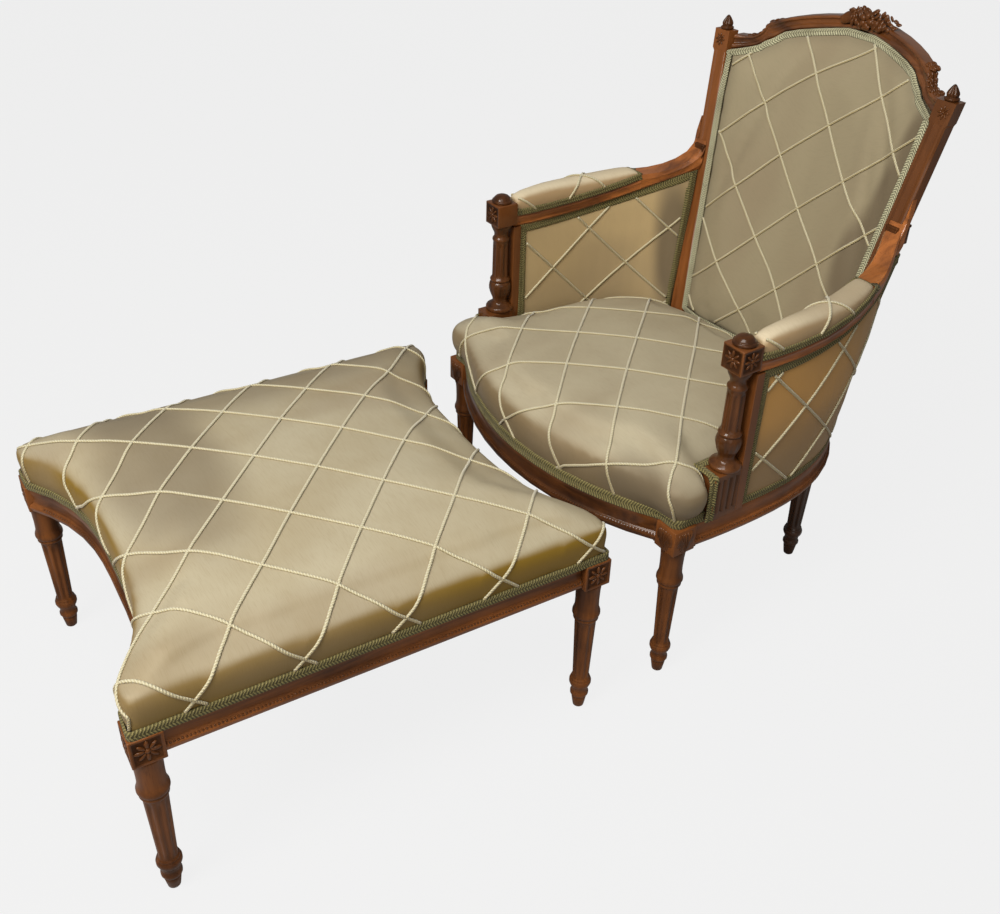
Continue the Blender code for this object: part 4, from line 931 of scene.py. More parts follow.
def nearest_on(point, outline):
    """Nearest plan point of an outline, and how far it is."""
    best = None
    for a, b in zip(outline, outline[1:] + outline[:1]):
        span = b - a
        share = max(min((point - a).dot(span) / max(span.length_squared, WELD ** 2), 1), 0)
        spot = a + span * share
        away = (point - spot).length
        if best is None or away < best[1]:
            best = (spot, away)
    return best


# Turned and square work

def smooth_profile(profile, most):
    """A profile with steps no taller than most, as height, radius and flute shares."""
    rows = []
    for start, end in zip(profile, profile[1:]):
        steps = max(math.ceil((end[0] - start[0]) / most), 1)
        for step in range(steps):
            share = step / steps
            rows.append([a + (b - a) * share for a, b in zip(start, end)])
    rows.append(list(profile[-1]))
    return rows


def turned_rows(centre, bottom, height, radius, profile, flutes, depth, points=64, gadroons=None):
    """Rings of a turning; flutes are hollows round it, deep where the profile says."""
    rows = []
    for share, wide, deep in smooth_profile(profile, 0.03):
        ring = []
        for number in range(points):
            angle = 2 * math.pi * number / points
            hollow = max(math.cos(angle * flutes), -0.25) + 0.25
            reach = radius * wide - depth * deep * math.sqrt(hollow / 1.25)
            if gadroons and gadroons[0] < share < gadroons[1]:
                swell = math.sin(math.pi * (share - gadroons[0]) / (gadroons[1] - gadroons[0]))
                reach -= gadroons[3] * swell * abs(math.cos(angle * gadroons[2] / 2)) ** 4
            ring.append(Vector((
                centre[0] + reach * math.cos(angle), centre[1] + reach * math.sin(angle),
                bottom + height * share)))
        rows.append(ring)
    return rows


def add_turning(bm, rows):
    sweep(bm, rows, True, False)
    close_up(bm)


def leg_rows(centre, height):
    return turned_rows(centre, 0, height, LEG_RADIUS, LEG_PROFILE, FLUTES, FLUTE_DEPTH)


def add_block(bm, centre, low, high, half, recess, sunk):
    """A square block with eased edges; the faces that look the ways in sunk get a sunk panel."""
    place = Matrix.Translation((centre[0], centre[1], (low + high) / 2)) @ Matrix.Diagonal(
        (2 * half, 2 * half, high - low, 1))
    made = bmesh.ops.create_cube(bm, size=1.0, matrix=place)
    faces = {face for vert in made["verts"] for face in vert.link_faces}
    ease_edges(bm, {edge for face in faces for edge in face.edges}, BLOCK_EASE)
    panels = [
        face for face in bm.faces
        if any(face.normal.dot(way) > 0.9 for way in sunk) and face.calc_area() > half * half
        and low < face.calc_center_median().z < high
        and (face.calc_center_median().xy - Vector(centre[:2])).length < half * 1.5
    ]
    for face in panels:
        bmesh.ops.inset_region(bm, faces=[face], thickness=PANEL_BORDER, depth=0.0)
        bmesh.ops.inset_region(bm, faces=[face], thickness=PANEL_SLOPE, depth=-recess)


def add_rosette(bm, spot, out, up, radius, height):
    """An eight-petalled flower on a face that looks out."""
    side = up.cross(out).normalized()
    base = Matrix((side, up, out)).transposed().to_4x4()
    base.translation = spot
    for petal in range(PETALS):
        turn = Matrix.Rotation(2 * math.pi * petal / PETALS, 4, "Z")
        stretch = Matrix.Diagonal((radius * PETAL_LENGTH, radius * PETAL_WIDTHS[petal % 2], height, 1))
        add_lump(bm, base @ turn @ Matrix.Translation((radius * PETAL_RING, 0, 0)) @ stretch)
    add_lump(bm, base @ Matrix.Diagonal((radius * HEART, radius * HEART, height * HEART_HEIGHT, 1)))


def add_leaf(bm, spot, out, along, length, width, height):
    """A carved leaf that lies on a face: a long lobe with a rib and two side lobes."""
    side = out.cross(along).normalized()
    base = Matrix((along, side, out)).transposed().to_4x4()
    base.translation = spot
    for x, y, long, wide, tall, turn in LOBES:
        place = base @ Matrix.Translation((x * length, y * width, 0))
        place = place @ Matrix.Rotation(math.radians(turn), 4, "Z")
        add_lump(bm, place @ Matrix.Diagonal((long * length, wide * width, tall * height, 1)))


def eased_copy(node, look, ease=EASE, deeper=0.0):
    """A CAD node with its sharp edges eased, as a polished piece; its lowest edge can go deeper."""
    bm = merged_copy(node)
    low = min(vert.co.z for vert in bm.verts)
    for vert in bm.verts:
        if vert.co.z < low + 0.002:
            vert.co.z -= deeper
    make_flats_whole(bm)
    ease_sharp(bm, ease)
    add_wood(bm, look, node)


class ArmchairOperator(bpy.types.Operator):
    bl_options = {"REGISTER", "UNDO"}

    def execute(self, context):
        self.make()
        return {"FINISHED"}


class MakeLegs(ArmchairOperator):
    """Turns the fluted legs of chair and footstool, with their square blocks"""
    bl_idname = "armchair.make_legs"
    bl_label = "Legs"

    def leg(self, name, place, ways):
        centre = place.inverted() @ middle_of(name)
        bm = bmesh.new()
        add_turning(bm, leg_rows(centre, LEG_HEIGHT))
        ways = [Vector(way) for way in ways]
        add_block(bm, centre, LEG_HEIGHT, BLOCK_TOP, BLOCK_SIZE / 2, STOOL_PANEL, ways)
        bm.transform(place)
        add_piece(name + "_turned", bm, "walnut_upright", name)

    def make(self):
        for word, side in SIDES:
            self.leg("chair_front_leg_" + word, CHAIR, ())
            for row, way in ROWS:
                self.leg("stool_" + row + "_leg_" + word, STOOL, ((0, way, 0), (side, 0, 0)))


class MakeUprights(ArmchairOperator):
    """Finishes the rear uprights, with their turned legs"""
    bl_idname = "armchair.make_uprights"
    bl_label = "Rear uprights"

    def make(self):
        for word, side in SIDES:
            name = "rear_upright_" + word
            bm = merged_copy(name)
            feet = [vert.co.copy() for vert in bm.verts if vert.co.z < LEG_HEIGHT / 2]
            cut_at(bm, LEG_HEIGHT, -1, True)
            make_flats_whole(bm)
            close_up(bm)
            ease_sharp(bm, EASE)
            leg = bmesh.new()
            add_turning(leg, leg_rows(sum(feet, Vector()) / len(feet), LEG_HEIGHT + LEG_INTO_UPRIGHT))
            join_into(bm, leg)
            # The right upright gets a darker copy of the stile's walnut: painted shade.
            add_wood(bm, "walnut_stile" if side < 0 else "walnut_stile_dark", name)


class MakePosts(ArmchairOperator):
    """Turns the arm posts: base disc, urn, fluted column, block and button"""
    bl_idname = "armchair.make_posts"
    bl_label = "Arm posts"

    def make(self):
        for word, side in SIDES:
            name = "arm_post_" + word
            low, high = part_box(name)
            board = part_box("arm_board_" + word)[0].y - POST_GAP
            centre = Vector(((low.x + high.x) / 2, low.y + POST_RADIUS, 0))
            bm = bmesh.new()
            rows = turned_rows(
                centre, POST_BOTTOM, POST_HEIGHT, POST_RADIUS, POST_PROFILE, FLUTES, FLUTE_DEPTH,
                gadroons=URN_GADROONS)
            for ring in rows:
                for point in ring:
                    point.y = min(point.y, board)
            add_turning(bm, rows)
            block_low = POST_BOTTOM + POST_HEIGHT
            block_high = block_low + POST_BLOCK_HEIGHT
            add_block(
                bm, centre, block_low, block_high, POST_BLOCK / 2, POST_PANEL,
                [FORWARD, Vector((side, 0, 0))])
            button = [(share, wide, 0) for share, wide in BUTTON_PROFILE]
            add_turning(bm, turned_rows(centre, block_high, BUTTON_HEIGHT, POST_BLOCK / 2, button, 1, 0))
            add_piece(name + "_turned", bm, "walnut_post", name)


class MakeFinials(ArmchairOperator):
    """Turns and carves the buds on top of the uprights"""
    bl_idname = "armchair.make_finials"
    bl_label = "Finials"

    def make(self):
        bud = [(share, wide, 0) for share, wide in FINIAL_PROFILE]
        for word, _ in SIDES:
            name = "finial_" + word
            low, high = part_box(name)
            bm = bmesh.new()
            add_turning(bm, turned_rows(
                (low + high) / 2, low.z, high.z - low.z, FINIAL_RADIUS, bud, 1, 0, 48, BUD_GADROONS))
            add_piece(name + "_carved", bm, "walnut_carved", name)


class MakeFrame(ArmchairOperator):
    """Finishes the rails, boards, plinths and arm rails"""
    bl_idname = "armchair.make_frame"
    bl_label = "Rails and boards"

    def make(self):
        eased_copy("top_rail", "walnut_top_rail")
        eased_copy("back_cross_rail", "walnut_across")
        eased_copy("chair_front_rail", "walnut_seat_rail", deeper=RAIL_DROP)
        for name in ("chair_back_rail", "stool_end_rail_near", "stool_end_rail_far"):
            eased_copy(name, "walnut_across", deeper=RAIL_DROP)
        for word, _ in SIDES:
            eased_copy("chair_side_rail_" + word, "walnut_lengthwise", deeper=RAIL_DROP)
            eased_copy("stool_side_rail_" + word, "walnut_lengthwise", deeper=RAIL_DROP)
            # The arm rails get a lighter copy of the walnut: painted light.
            eased_copy("arm_rail_" + word, "walnut_arm_rail")
            eased_copy("arm_board_" + word, "walnut_post")
            eased_copy("arm_plinth_" + word, "walnut_post", PLINTH_EASE)


class MakeBeads(ArmchairOperator):
    """Carves the bead course along the lower edge of every seat rail"""
    bl_idname = "armchair.make_beads"
    bl_label = "Bead courses"

    def course(self, node, centre):
        bm = merged_copy(node)
        cut = cut_at(bm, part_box(node)[0].z + BEAD_RISE - RAIL_DROP / 2, 1)
        bm.edges.index_update()
        line = chains([item for item in cut if isinstance(item, bmesh.types.BMEdge)])[0]
        bm.free()
        tree = node_tree(node)
        spots = resampled(line, sizes().bead_pitch, True)[0]
        bm = bmesh.new()
        for spot, after, before in zip(spots, spots[1:] + spots[:1], spots[-1:] + spots[:-1]):
            out = (after - before).normalized().cross(UP)
            away = spot - centre
            away.z = 0
            if away.dot(out) < 0:
                out = -out
            inner = tree.ray_cast(spot - out * 0.001, -out, 0.08)[0]
            if inner is None or (inner - spot).length < BEAD_WOOD or out.dot(away.normalized()) < BEAD_FACING:
                continue
            add_lump(bm, Matrix.Translation(spot - out * 0.0002) @ Matrix.Diagonal(
                (sizes().bead_radius,) * 3 + (1,)), 1)
        add_piece(node + "_beads", bm, "walnut_carved")

    def make(self):
        for middle, nodes in (
                (CHAIR @ Vector((0, 0.2, 0)),
                 ("chair_front_rail", "chair_side_rail_left", "chair_side_rail_right", "chair_back_rail")),
                (STOOL @ Vector(),
                 ("stool_side_rail_left", "stool_side_rail_right", "stool_end_rail_near",
                  "stool_end_rail_far"))):
            for node in nodes:
                self.course(node, middle)


class MakeRosettes(ArmchairOperator):
    """Carves a flower in the sunk panel of every block"""
    bl_idname = "armchair.make_rosettes"
    bl_label = "Rosettes"

    def make(self):
        bm = bmesh.new()
        for word, side in SIDES:
            for row, way in ROWS:
                centre = middle_of("stool_" + row + "_leg_" + word)
                for out in (STOOL.to_3x3() @ Vector((side, 0, 0)), STOOL.to_3x3() @ Vector((0, way, 0))):
                    spot = centre + out * (BLOCK_SIZE / 2 - STOOL_PANEL) + UP * ((LEG_HEIGHT + BLOCK_TOP) / 2)
                    add_rosette(bm, spot, out, UP, *STOOL_ROSETTE)
        add_piece("stool_block_rosettes", bm, "walnut_carved")
        bm = bmesh.new()
        for word, side in SIDES:
            centre = middle_of("chair_front_leg_" + word)
            for out in (Vector((side, 0, 0)), FORWARD):
                face = centre + out * (BLOCK_SIZE / 2 - LET_IN)
                along = out.cross(UP)
                for place, tilt, long in ACANTHUS:
                    down = Matrix.Rotation(math.radians(tilt), 3, out) @ -UP
                    spot = face + along * place + UP * (BLOCK_TOP - ACANTHUS_DROP)
                    add_leaf(bm, spot, out, down, long, *ACANTHUS_SIZE)
                place = side if out.y else -side
                foot = UP * (LEG_HEIGHT + CURL_RISE)
                spot = face + along * (place * (BLOCK_SIZE / 2 - CURL_INSET)) + foot
                add_leaf(bm, spot - out * CURL_DEPTH, out, along * place, *CURL)
            low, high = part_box("arm_post_" + word)
            post = Vector(((low.x + high.x) / 2, low.y + POST_RADIUS, 0))
            height = POST_BOTTOM + POST_HEIGHT + POST_BLOCK_HEIGHT / 2
            for out in (Vector((side, 0, 0)), FORWARD):
                spot = post + out * (POST_BLOCK / 2 - POST_PANEL) + UP * height
                add_rosette(bm, spot, out, UP, *POST_ROSETTE)
            head = node_tree("rear_upright_" + word)
            finial_low, finial_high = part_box("finial_" + word)
            start = (finial_low + finial_high) / 2
            start = Vector((start.x, start.y - 0.2, finial_low.z - HEAD_DROP))
            spot, out = head.ray_cast(start, BACKWARD)[:2]
            add_rosette(bm, spot, out, (UP - out * UP.dot(out)).normalized(), *HEAD_ROSETTE)
        add_piece("chair_block_carving", bm, "walnut_carved")


class MakeCrest(ArmchairOperator):
    """Carves the spray of flowers and leaves on the top rail"""
    bl_idname = "armchair.make_crest"
    bl_label = "Crest"

    def make(self):
        low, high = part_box("crest_carving")
        centre = (low + high) / 2
        bm = bmesh.new()
        half = (high.x - low.x) / 2
        tall = high.z - low.z
        for number in range(CREST_LUMPS):
            across = 2 * ((number * GOLDEN) % 1.0) - 1
            level = (number * SECOND_GOLDEN) % 1.0
            size = 0.0058 * (1.25 - 0.65 * abs(across))
            size *= 0.75 + 0.5 * noise.noise(Vector((number * 1.7, 0, 0)))
            x = centre.x + CREST_LEAN + across * half * 0.93
            top = high.z + 0.006 - tall * 0.34 * abs(across) ** 1.5 - size * 0.6
            bottom = low.z + tall * 0.30 * abs(across) ** 0.8 + size
            z = bottom + (top - bottom) * level
            front = low.y + (0.0035 if level > 0.3 else 0.001) + 0.013 * abs(across) ** 2 + 0.010 * level ** 2
            turn = Matrix.Rotation(number * 2.4, 4, "Y")
            turn = turn @ Matrix.Rotation(0.8 * math.sin(number * 5.1), 4, "X")
            stretch = Matrix.Diagonal((size * 1.75, size * 0.62, size * 0.95, 1))
            add_lump(bm, Matrix.Translation((x, front + size * 0.5, z)) @ turn @ stretch)
        heart = Vector((centre.x + CREST_LEAN, low.y + 0.003, centre.z + 0.002))
        for petal in range(CREST_PETALS):
            angle = 2 * math.pi * petal / CREST_PETALS
            place = Matrix.Translation(heart + Vector((math.cos(angle), 0, math.sin(angle))) * CREST_RING)
            add_lump(bm, place @ Matrix.Rotation(-angle, 4, "Y") @ Matrix.Diagonal((*CREST_PETAL, 1)))
        core = merged_copy("crest_carving")
        bmesh.ops.scale(core, vec=CREST_CORE, space=Matrix.Translation(-centre), verts=core.verts)
        join_into(bm, core)
        add_piece("crest_flowers", bm, "walnut_crest", "crest_carving")


class MakeDips(ArmchairOperator):
    """Carves the leaf at each dip of the top rail and the block at each arm's upper end"""
    bl_idname = "armchair.make_dips"
    bl_label = "Leaves and end blocks"

    def make(self):
        rail = node_tree("top_rail")
        bm = bmesh.new()
        for _, side in SIDES:
            inward = Vector((-side * DIP_INWARD[0], 0, -DIP_INWARD[1]))
            down_rail = Vector((side * DIP_INWARD[1], 0, -DIP_INWARD[0]))
            for step in range(DIP_LEAVES):
                for depth in DIP_DEPTHS:
                    spot = CHAIR @ Vector((
                        side * (DIP_START[0] + DIP_STEP[0] * step), 0, DIP_START[1] - DIP_STEP[1] * step))
                    front = rail.ray_cast(Vector((spot.x, spot.y, spot.z - DIP_PROBE)), BACKWARD)[0]
                    if front is None:
                        continue
                    start = Vector((spot.x, front.y + depth, spot.z)) - inward * 0.05
                    hit, out = rail.ray_cast(start, inward, 0.1)[:2]
                    if hit is None:
                        continue
                    down = (down_rail - out * out.dot(down_rail)).normalized()
                    add_leaf(bm, hit - down * DIP_START_BACK, out, down, *DIP_LEAF, DIP_LEAF_HEIGHTS[side])
        add_piece("top_rail_leaves", bm, "walnut_carved")
        bm = bmesh.new()
        for _, side in SIDES:
            for centre, size in ARM_END_BLOCK:
                place = Matrix.Translation(CHAIR @ Vector((side * centre[0], centre[1], centre[2])))
                made = bmesh.ops.create_cube(bm, size=1.0, matrix=place @ Matrix.Diagonal((*size, 1)))
                edges = {edge for vert in made["verts"] for edge in vert.link_edges}
                ease_edges(bm, edges, END_BLOCK_EASE, 3)
        add_piece("arm_end_blocks", bm, "walnut_carved")


# Upholstery

def soft_copy(
        node, name, look, voxel, steps, held=None, most=0.0, inset=0.0, fuller=None, finer=1, flat=None):
    """A padded cover from a CAD form: remeshed fine, swollen by Cloth within limits, then smoothed."""
    piece = add_piece(name, merged_copy(node), look, node)
    cells = piece.modifiers.new("cells", "REMESH")
    cells.mode = "VOXEL"
    cells.voxel_size = voxel
    apply_modifiers(piece)
    bm = bmesh.new()
    bm.from_mesh(piece.data)
    loose = [vert for vert in bm.verts if not flat or abs(vert.normal.dot(flat)) > 0.9]
    smooth(bm, loose, steps)
    bm.normal_update()
    kept = [held(vert.co, vert.normal) for vert in bm.verts] if held else []
    for vert, is_kept in zip(bm.verts, kept):
        if not is_kept:
            vert.co -= vert.normal * inset
    if fuller:
        for vert in bm.verts:
            vert.co += fuller(vert.co, vert.normal)
    bm.to_mesh(piece.data)
    bm.free()
    if held:
        swell(piece, kept, most)
        bm = bmesh.new()
        bm.from_mesh(piece.data)
        smooth(bm, [vert for vert, is_kept in zip(bm.verts, kept) if not is_kept], 5)
        bm.to_mesh(piece.data)
        bm.free()
    piece.data.shade_smooth()
    if finer:
        fine = piece.modifiers.new("fine", "SUBSURF")
        fine.levels = finer
        fine.render_levels = finer
    return piece


def apply_modifiers(piece):
    shapes = bpy.context.evaluated_depsgraph_get()
    made = bpy.data.meshes.new_from_object(piece.evaluated_get(shapes))
    piece.modifiers.clear()
    old = piece.data
    piece.data = made
    bpy.data.meshes.remove(old)


def swell(piece, kept, most):
    """Cloth with air inside; no point ends up further than most from where it began."""
    group = piece.vertex_groups.new(name="held")
    group.add([number for number, is_kept in enumerate(kept) if is_kept], 1.0, "REPLACE")
    cloth = piece.modifiers.new("swell", "CLOTH")
    for setting, value in CLOTH.items():
        setattr(cloth.settings, setting, value)
    cloth.settings.use_pressure = True
    cloth.settings.uniform_pressure_force = AIR_PRESSURE
    cloth.settings.vertex_group_mass = "held"
    cloth.settings.effector_weights.gravity = 0
    cloth.point_cache.frame_start = 1
    cloth.point_cache.frame_end = SWELL_FRAMES
    scene = bpy.context.scene
    for number in range(1, SWELL_FRAMES + 1):
        scene.frame_set(number)
    shapes = bpy.context.evaluated_depsgraph_get()
    moved = [vert.co.copy() for vert in piece.evaluated_get(shapes).data.vertices]
    piece.modifiers.remove(cloth)
    piece.vertex_groups.remove(group)
    scene.frame_set(1)
    outs = [vert.normal.copy() for vert in piece.data.vertices]
    for vert, spot, out in zip(piece.data.vertices, moved, outs):
        away = spot - vert.co
        lift = away.dot(out)
        along = (away - out * lift) * SLIDE
        if along.length > most / 3:
            along = along.normalized() * most / 3
        vert.co += along + out * min(max(lift, -0.001), most)


def mark_edges(piece, rim, reach):
    """Stores on a cover how far each point is from its trimmed edge, as a share of reach."""
    points = resampled(rim, DUST_AND_SHADE_STEP, True)[0]
    tree = KDTree(len(points))
    for number, point in enumerate(points):
        tree.insert(point, number)
    tree.balance()
    attribute = piece.data.attributes.new("edge", "FLOAT", "POINT")
    for number, vert in enumerate(piece.data.vertices):
        attribute.data[number].value = min(tree.find(vert.co)[2] / reach, 1)


rims = {}


def level_out(row):
    """A closed row of points, smoothed a little."""
    for _ in range(2):
        row = [(a + b * 2 + c) / 4 for a, b, c in zip(row[-1:] + row[:-1], row, row[1:] + row[:1])]
    return row


def rise_above(spot, low):
    """Share of the swelling that a side has at a height above its lower edge."""
    return min(max((spot.z - low - SWELL_START) / SWELL_RISE, 0), 1)


class MakeSeat(ArmchairOperator):
    """Upholsters the chair's seat"""
    bl_idname = "armchair.make_seat"
    bl_label = "Seat"

    def bulge(self, spot, normal, low):
        """How much the stuffing fills a side out above the rail, most at the front corners."""
        here = CHAIR.inverted() @ spot
        out = Vector((normal.x, min(normal.y, 0), 0))
        rise = rise_above(spot, low)
        rise = rise * rise * (3 - 2 * rise)
        corner, notch = (
            math.exp(-((abs(here.x) - x) ** 2 + (here.y - y) ** 2) / reach ** 2)
            for x, y, reach in (CORNER, NOTCH))
        lift = UP * (NOTCH_LIFT * notch * max(normal.z, 0))
        return out * rise * (SIDE_SWELL + CORNER_SWELL * corner) + lift

    def make(self):
        rim = rim_of("seat_upholstery", -UP)
        low = rim[0].z
        piece = soft_copy(
            "seat_upholstery", "seat_cover", "satin_seat", sizes().voxel, 6,
            lambda spot, normal: normal.z < -0.5 or spot.z < low + HELD_STRIP, 0.010, 0.002,
            lambda spot, normal: self.bulge(spot, normal, low))
        mark_edges(piece, rim, SEAT_DUST_AND_SHADE)
        rims["seat"] = rim


class MakeStool(ArmchairOperator):
    """Upholsters the footstool"""
    bl_idname = "armchair.make_stool"
    bl_label = "Footstool"

    def bulge(self, spot, normal, low):
        """How far the sides stand out above the rail."""
        return Vector((normal.x, normal.y, 0)) * (rise_above(spot, low) * STOOL_SWELL)

    def make(self):
        rim = rim_of("stool_upholstery", -UP)
        low = rim[0].z
        piece = soft_copy(
            "stool_upholstery", "stool_cover", "satin_stool", sizes().voxel, 5,
            lambda spot, normal: normal.z < -0.5 or spot.z < low + HELD_STRIP, 0.010, 0.001,
            lambda spot, normal: self.bulge(spot, normal, low))
        mark_edges(piece, rim, STOOL_DUST_AND_SHADE)
        rims["stool"] = rim


class MakeBack(ArmchairOperator):
    """Upholsters the inside and the outside of the back"""
    bl_idname = "armchair.make_back"
    bl_label = "Back"

    def make(self):
        rim = rim_of("back_cushion", FORWARD)
        piece = soft_copy(
            "back_cushion", "back_cover", "satin_back", BACK_CELL, 4,
            lambda spot, normal: normal.y > -0.35, 0.010, 0.001)
        mark_edges(piece, rim, BACK_DUST_AND_SHADE)
        rims["back"] = rim
        rim = rim_of("outer_back_panel", -FORWARD)
        piece = soft_copy(
            "outer_back_panel", "outer_back_cover", "satin_back", OUTER_BACK_CELL, 4, finer=0, flat=FORWARD)
        mark_edges(piece, rim, PANEL_DUST_AND_SHADE)
        rims["outer_back"] = rim


class MakeArms(ArmchairOperator):
    """Upholsters the arm panels and the arm pads"""
    bl_idname = "armchair.make_arms"
    bl_label = "Arms"

    def make(self):
        for word, side in SIDES:
            for inner, way in (("inner", -side), ("outer", side)):
                name = "arm_" + inner + "_panel_" + word
                toward = Vector((way, 0, 0))
                rim = rim_of(name, toward)
                piece = soft_copy(
                    name, name + "_cover", "satin_" + inner, PANEL_CELL, 4, finer=0, flat=toward)
                mark_edges(piece, rim, PANEL_DUST_AND_SHADE)
                rims[name] = rim
            name = "arm_pad_" + word
            rim = rim_of(name, -UP)
            piece = soft_copy(
                name, name + "_cover", "satin_pad", PAD_CELL, 4,
                lambda spot, normal: normal.z < -0.3, 0.005, 0.001)
            mark_edges(piece, rim, PAD_DUST_AND_SHADE)
            rims[name] = rim


class MakeGimp(ArmchairOperator):
    """Lays the braided gimp along every edge of the covers"""
    bl_idname = "armchair.make_gimp"
    bl_label = "Gimp"

    def braid(self, name, look, marks, seeds, looks, surfaces, closed):
        """A flat braid; seeds give a point beside each mark for every part of the band."""
        rows = []
        strand = []
        for (across, height), row_seeds in zip(GIMP_BAND, seeds):
            row = []
            for seed, out, mark in zip(row_seeds, looks, marks):
                depth = REACH
                for surface in surfaces:
                    hit = surface.ray_cast(seed + out * REACH, -out, REACH * 1.5)
                    if hit[0] is not None:
                        depth = min(depth, hit[3])
                wave = 1 + 0.16 * math.sin(mark * 2 * math.pi / BRAID_TURN + 6 * abs(across - 0.5))
                row.append(seed + out * (REACH - depth + sizes().gimp_thickness * height * wave))
            rows.append(level_out(row) if closed else row)
            strand.append([Vector((mark, across, 0)) for mark in marks])
        bm = strand_mesh()
        sweep(bm, rows, closed, True, strand)
        close_up(bm)
        add_piece(name, bm, look)

    def band(self, name, look, rim, toward, under, rise, share=1.0):
        """A braid along a closed rim, part over the wood and part over the cover."""
        wide = sizes().gimp_width * share
        surfaces = [tree_of(bpy.data.objects[piece]) for piece in under]
        spots, marks = resampled(rim, BRAID_STEP, True)
        count = len(spots)
        alongs = [(spots[(number + 3) % count] - spots[number - 3]).normalized() for number in range(count)]
        inward = [toward.cross(along).normalized() for along in alongs]
        ways = [UP] * count if rise else inward
        looks = [-way for way in inward] if rise else [toward] * count
        seeds = [
            [spot + way * (wide * (across - 0.15)) for spot, way in zip(spots, ways)]
            for across, _ in GIMP_BAND
        ]
        self.braid(name, look, marks, seeds, looks, surfaces, True)

    def corner(self, word, side):
        """The braid that climbs beside the post's plinth and turns round its top."""
        low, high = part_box("arm_plinth_" + word)
        outer, inner = (high.x, low.x) if side > 0 else (low.x, high.x)
        front = low.y - CORNER_FRONT
        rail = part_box("chair_front_rail")[1].z
        out = Vector((side, 0, 0))
        path = [
            (Vector((outer - side * CORNER_INSET, front, rail)), out),
            (Vector((outer - side * CORNER_INSET, front, high.z - CORNER_BEND)), out),
            (Vector((outer - side * CORNER_BEND, front, high.z + CORNER_LIFT)), (out + UP).normalized()),
            (Vector((inner - side * CORNER_INSET, front, high.z + CORNER_LIFT)), UP),
            (Vector((inner - side * CORNER_TAIL, high.y, high.z + CORNER_LIFT)), UP),
        ]
        if side < 0:
            path = path[:2]
        line = [spot for spot, _ in path]
        spots, marks = resampled(line, BRAID_STEP, False)
        looks = []
        for spot in spots:
            weights = [1 / ((spot - place).length + 0.004) ** 2 for place in line]
            look = sum((way * weight for (_, way), weight in zip(path, weights)), Vector())
            looks.append(look.normalized())
        ways = []
        for number, look in enumerate(looks):
            along = spots[min(number + 2, len(spots) - 1)] - spots[max(number - 2, 0)]
            ways.append(look.cross(along).normalized() * -side)
        wide = sizes().gimp_width * CORNER_WIDTH
        seeds = [
            [spot + way * (wide * (across - 0.3)) for spot, way in zip(spots, ways)]
            for across, _ in GIMP_BAND
        ]
        surfaces = [tree_of(bpy.data.objects["seat_cover"]), node_tree("arm_plinth_" + word)]
        self.braid("plinth_gimp_" + word, "gimp_olive", marks, seeds, looks, surfaces, False)

    def make(self):
        rails = ["chair_front_rail", "chair_side_rail_left", "chair_side_rail_right"]
        under = ["seat_cover"] + [rail + "_wood" for rail in rails]
        self.band("seat_gimp", "gimp_olive", rims["seat"], -UP, under, True, 1.15)
        self.band("stool_gimp", "gimp_olive", rims["stool"], -UP, ["stool_cover"], True)
        round_back = ["top_rail_wood", "rear_upright_left_wood", "rear_upright_right_wood"]
        self.band("back_gimp", "gimp_pale", rims["back"], FORWARD, ["back_cover"] + round_back, False, 0.76)
        self.band(
            "outer_back_gimp", "gimp_olive", rims["outer_back"], -FORWARD,
            ["outer_back_cover"] + round_back, False)
        for word, side in SIDES:
            for inner, way in (("inner", -side), ("outer", side)):
                name = "arm_" + inner + "_panel_" + word
                self.band(
                    name + "_gimp", "gimp_olive", rims[name], Vector((way, 0, 0)), [name + "_cover"], False)
            name = "arm_pad_" + word
            under = [name + "_cover", "arm_rail_" + word + "_wood"]
            self.band(name + "_gimp", "gimp_olive", rims[name], -UP, under, True, 0.8)
            self.corner(word, side)


# How far round a crossing pulls on the grid, and how strongly the even grid holds against it
PULL_REACH = 0.55
PULL_HOLD = 0.25


def laid(grid, nodes, first, second):
    """Where two cords cross: the even grid, pulled to the crossings nearby."""
    start, across, along = (Vector(pair) for pair in grid)
    spot = start + across * first + along * second
    pull = Vector((0, 0))
    total = PULL_HOLD
    for i, j, x, y in nodes:
        weight = math.exp(-((first - i) ** 2 + (second - j) ** 2) / PULL_REACH)
        pull += (Vector((x, y)) - start - across * i - along * j) * weight
        total += weight
    return spot + pull / total


def split_runs(seeds):
    """Runs of points that follow each other without a gap."""
    runs = [[]]
    for seed in seeds:
        if seed is None:
            if runs[-1]:
                runs.append([])
        else:
            runs[-1].append(seed)
    return [run for run in runs if len(run) > 5]


def add_cord(bm, spots, normals):
    """A round cord along points that lie on a surface."""
    radius = sizes().cord_radius
    points, marks = resampled(spots, CORD_STEP, False)
    tree = KDTree(len(spots))
    for number, spot in enumerate(spots):
        tree.insert(spot, number)
    tree.balance()
    outs = [normals[tree.find(point)[1]] for point in points]
    for _ in range(3):
        points = [points[0]] + [
            (a + b * 2 + c) / 4 for a, b, c in zip(points, points[1:], points[2:])] + [points[-1]]
    rows = []
    strand = []
    for column in range(CORD_COLUMNS):
        angle = 2 * math.pi * column / CORD_COLUMNS - math.pi / 2
        row = []
        measure = []
        for number, point in enumerate(points):
            before = points[max(number - 1, 0)]
            after = points[min(number + 1, len(points) - 1)]
            along = (after - before).normalized()
            out = (outs[number] - along * outs[number].dot(along)).normalized()
            side = along.cross(out)
            row.append(
                point + out * (radius * (0.5 + 0.8 * math.sin(angle))) + side * (radius * math.cos(angle)))
            measure.append(Vector((marks[number], column / CORD_COLUMNS, 0)))
        rows.append(row)
        strand.append(measure)
    sweep(bm, rows, False, True, strand)


def add_runs(bm, found):
    """A cord along every unbroken run of points and normals."""
    for run in split_runs(found):
        add_cord(bm, *zip(*run))


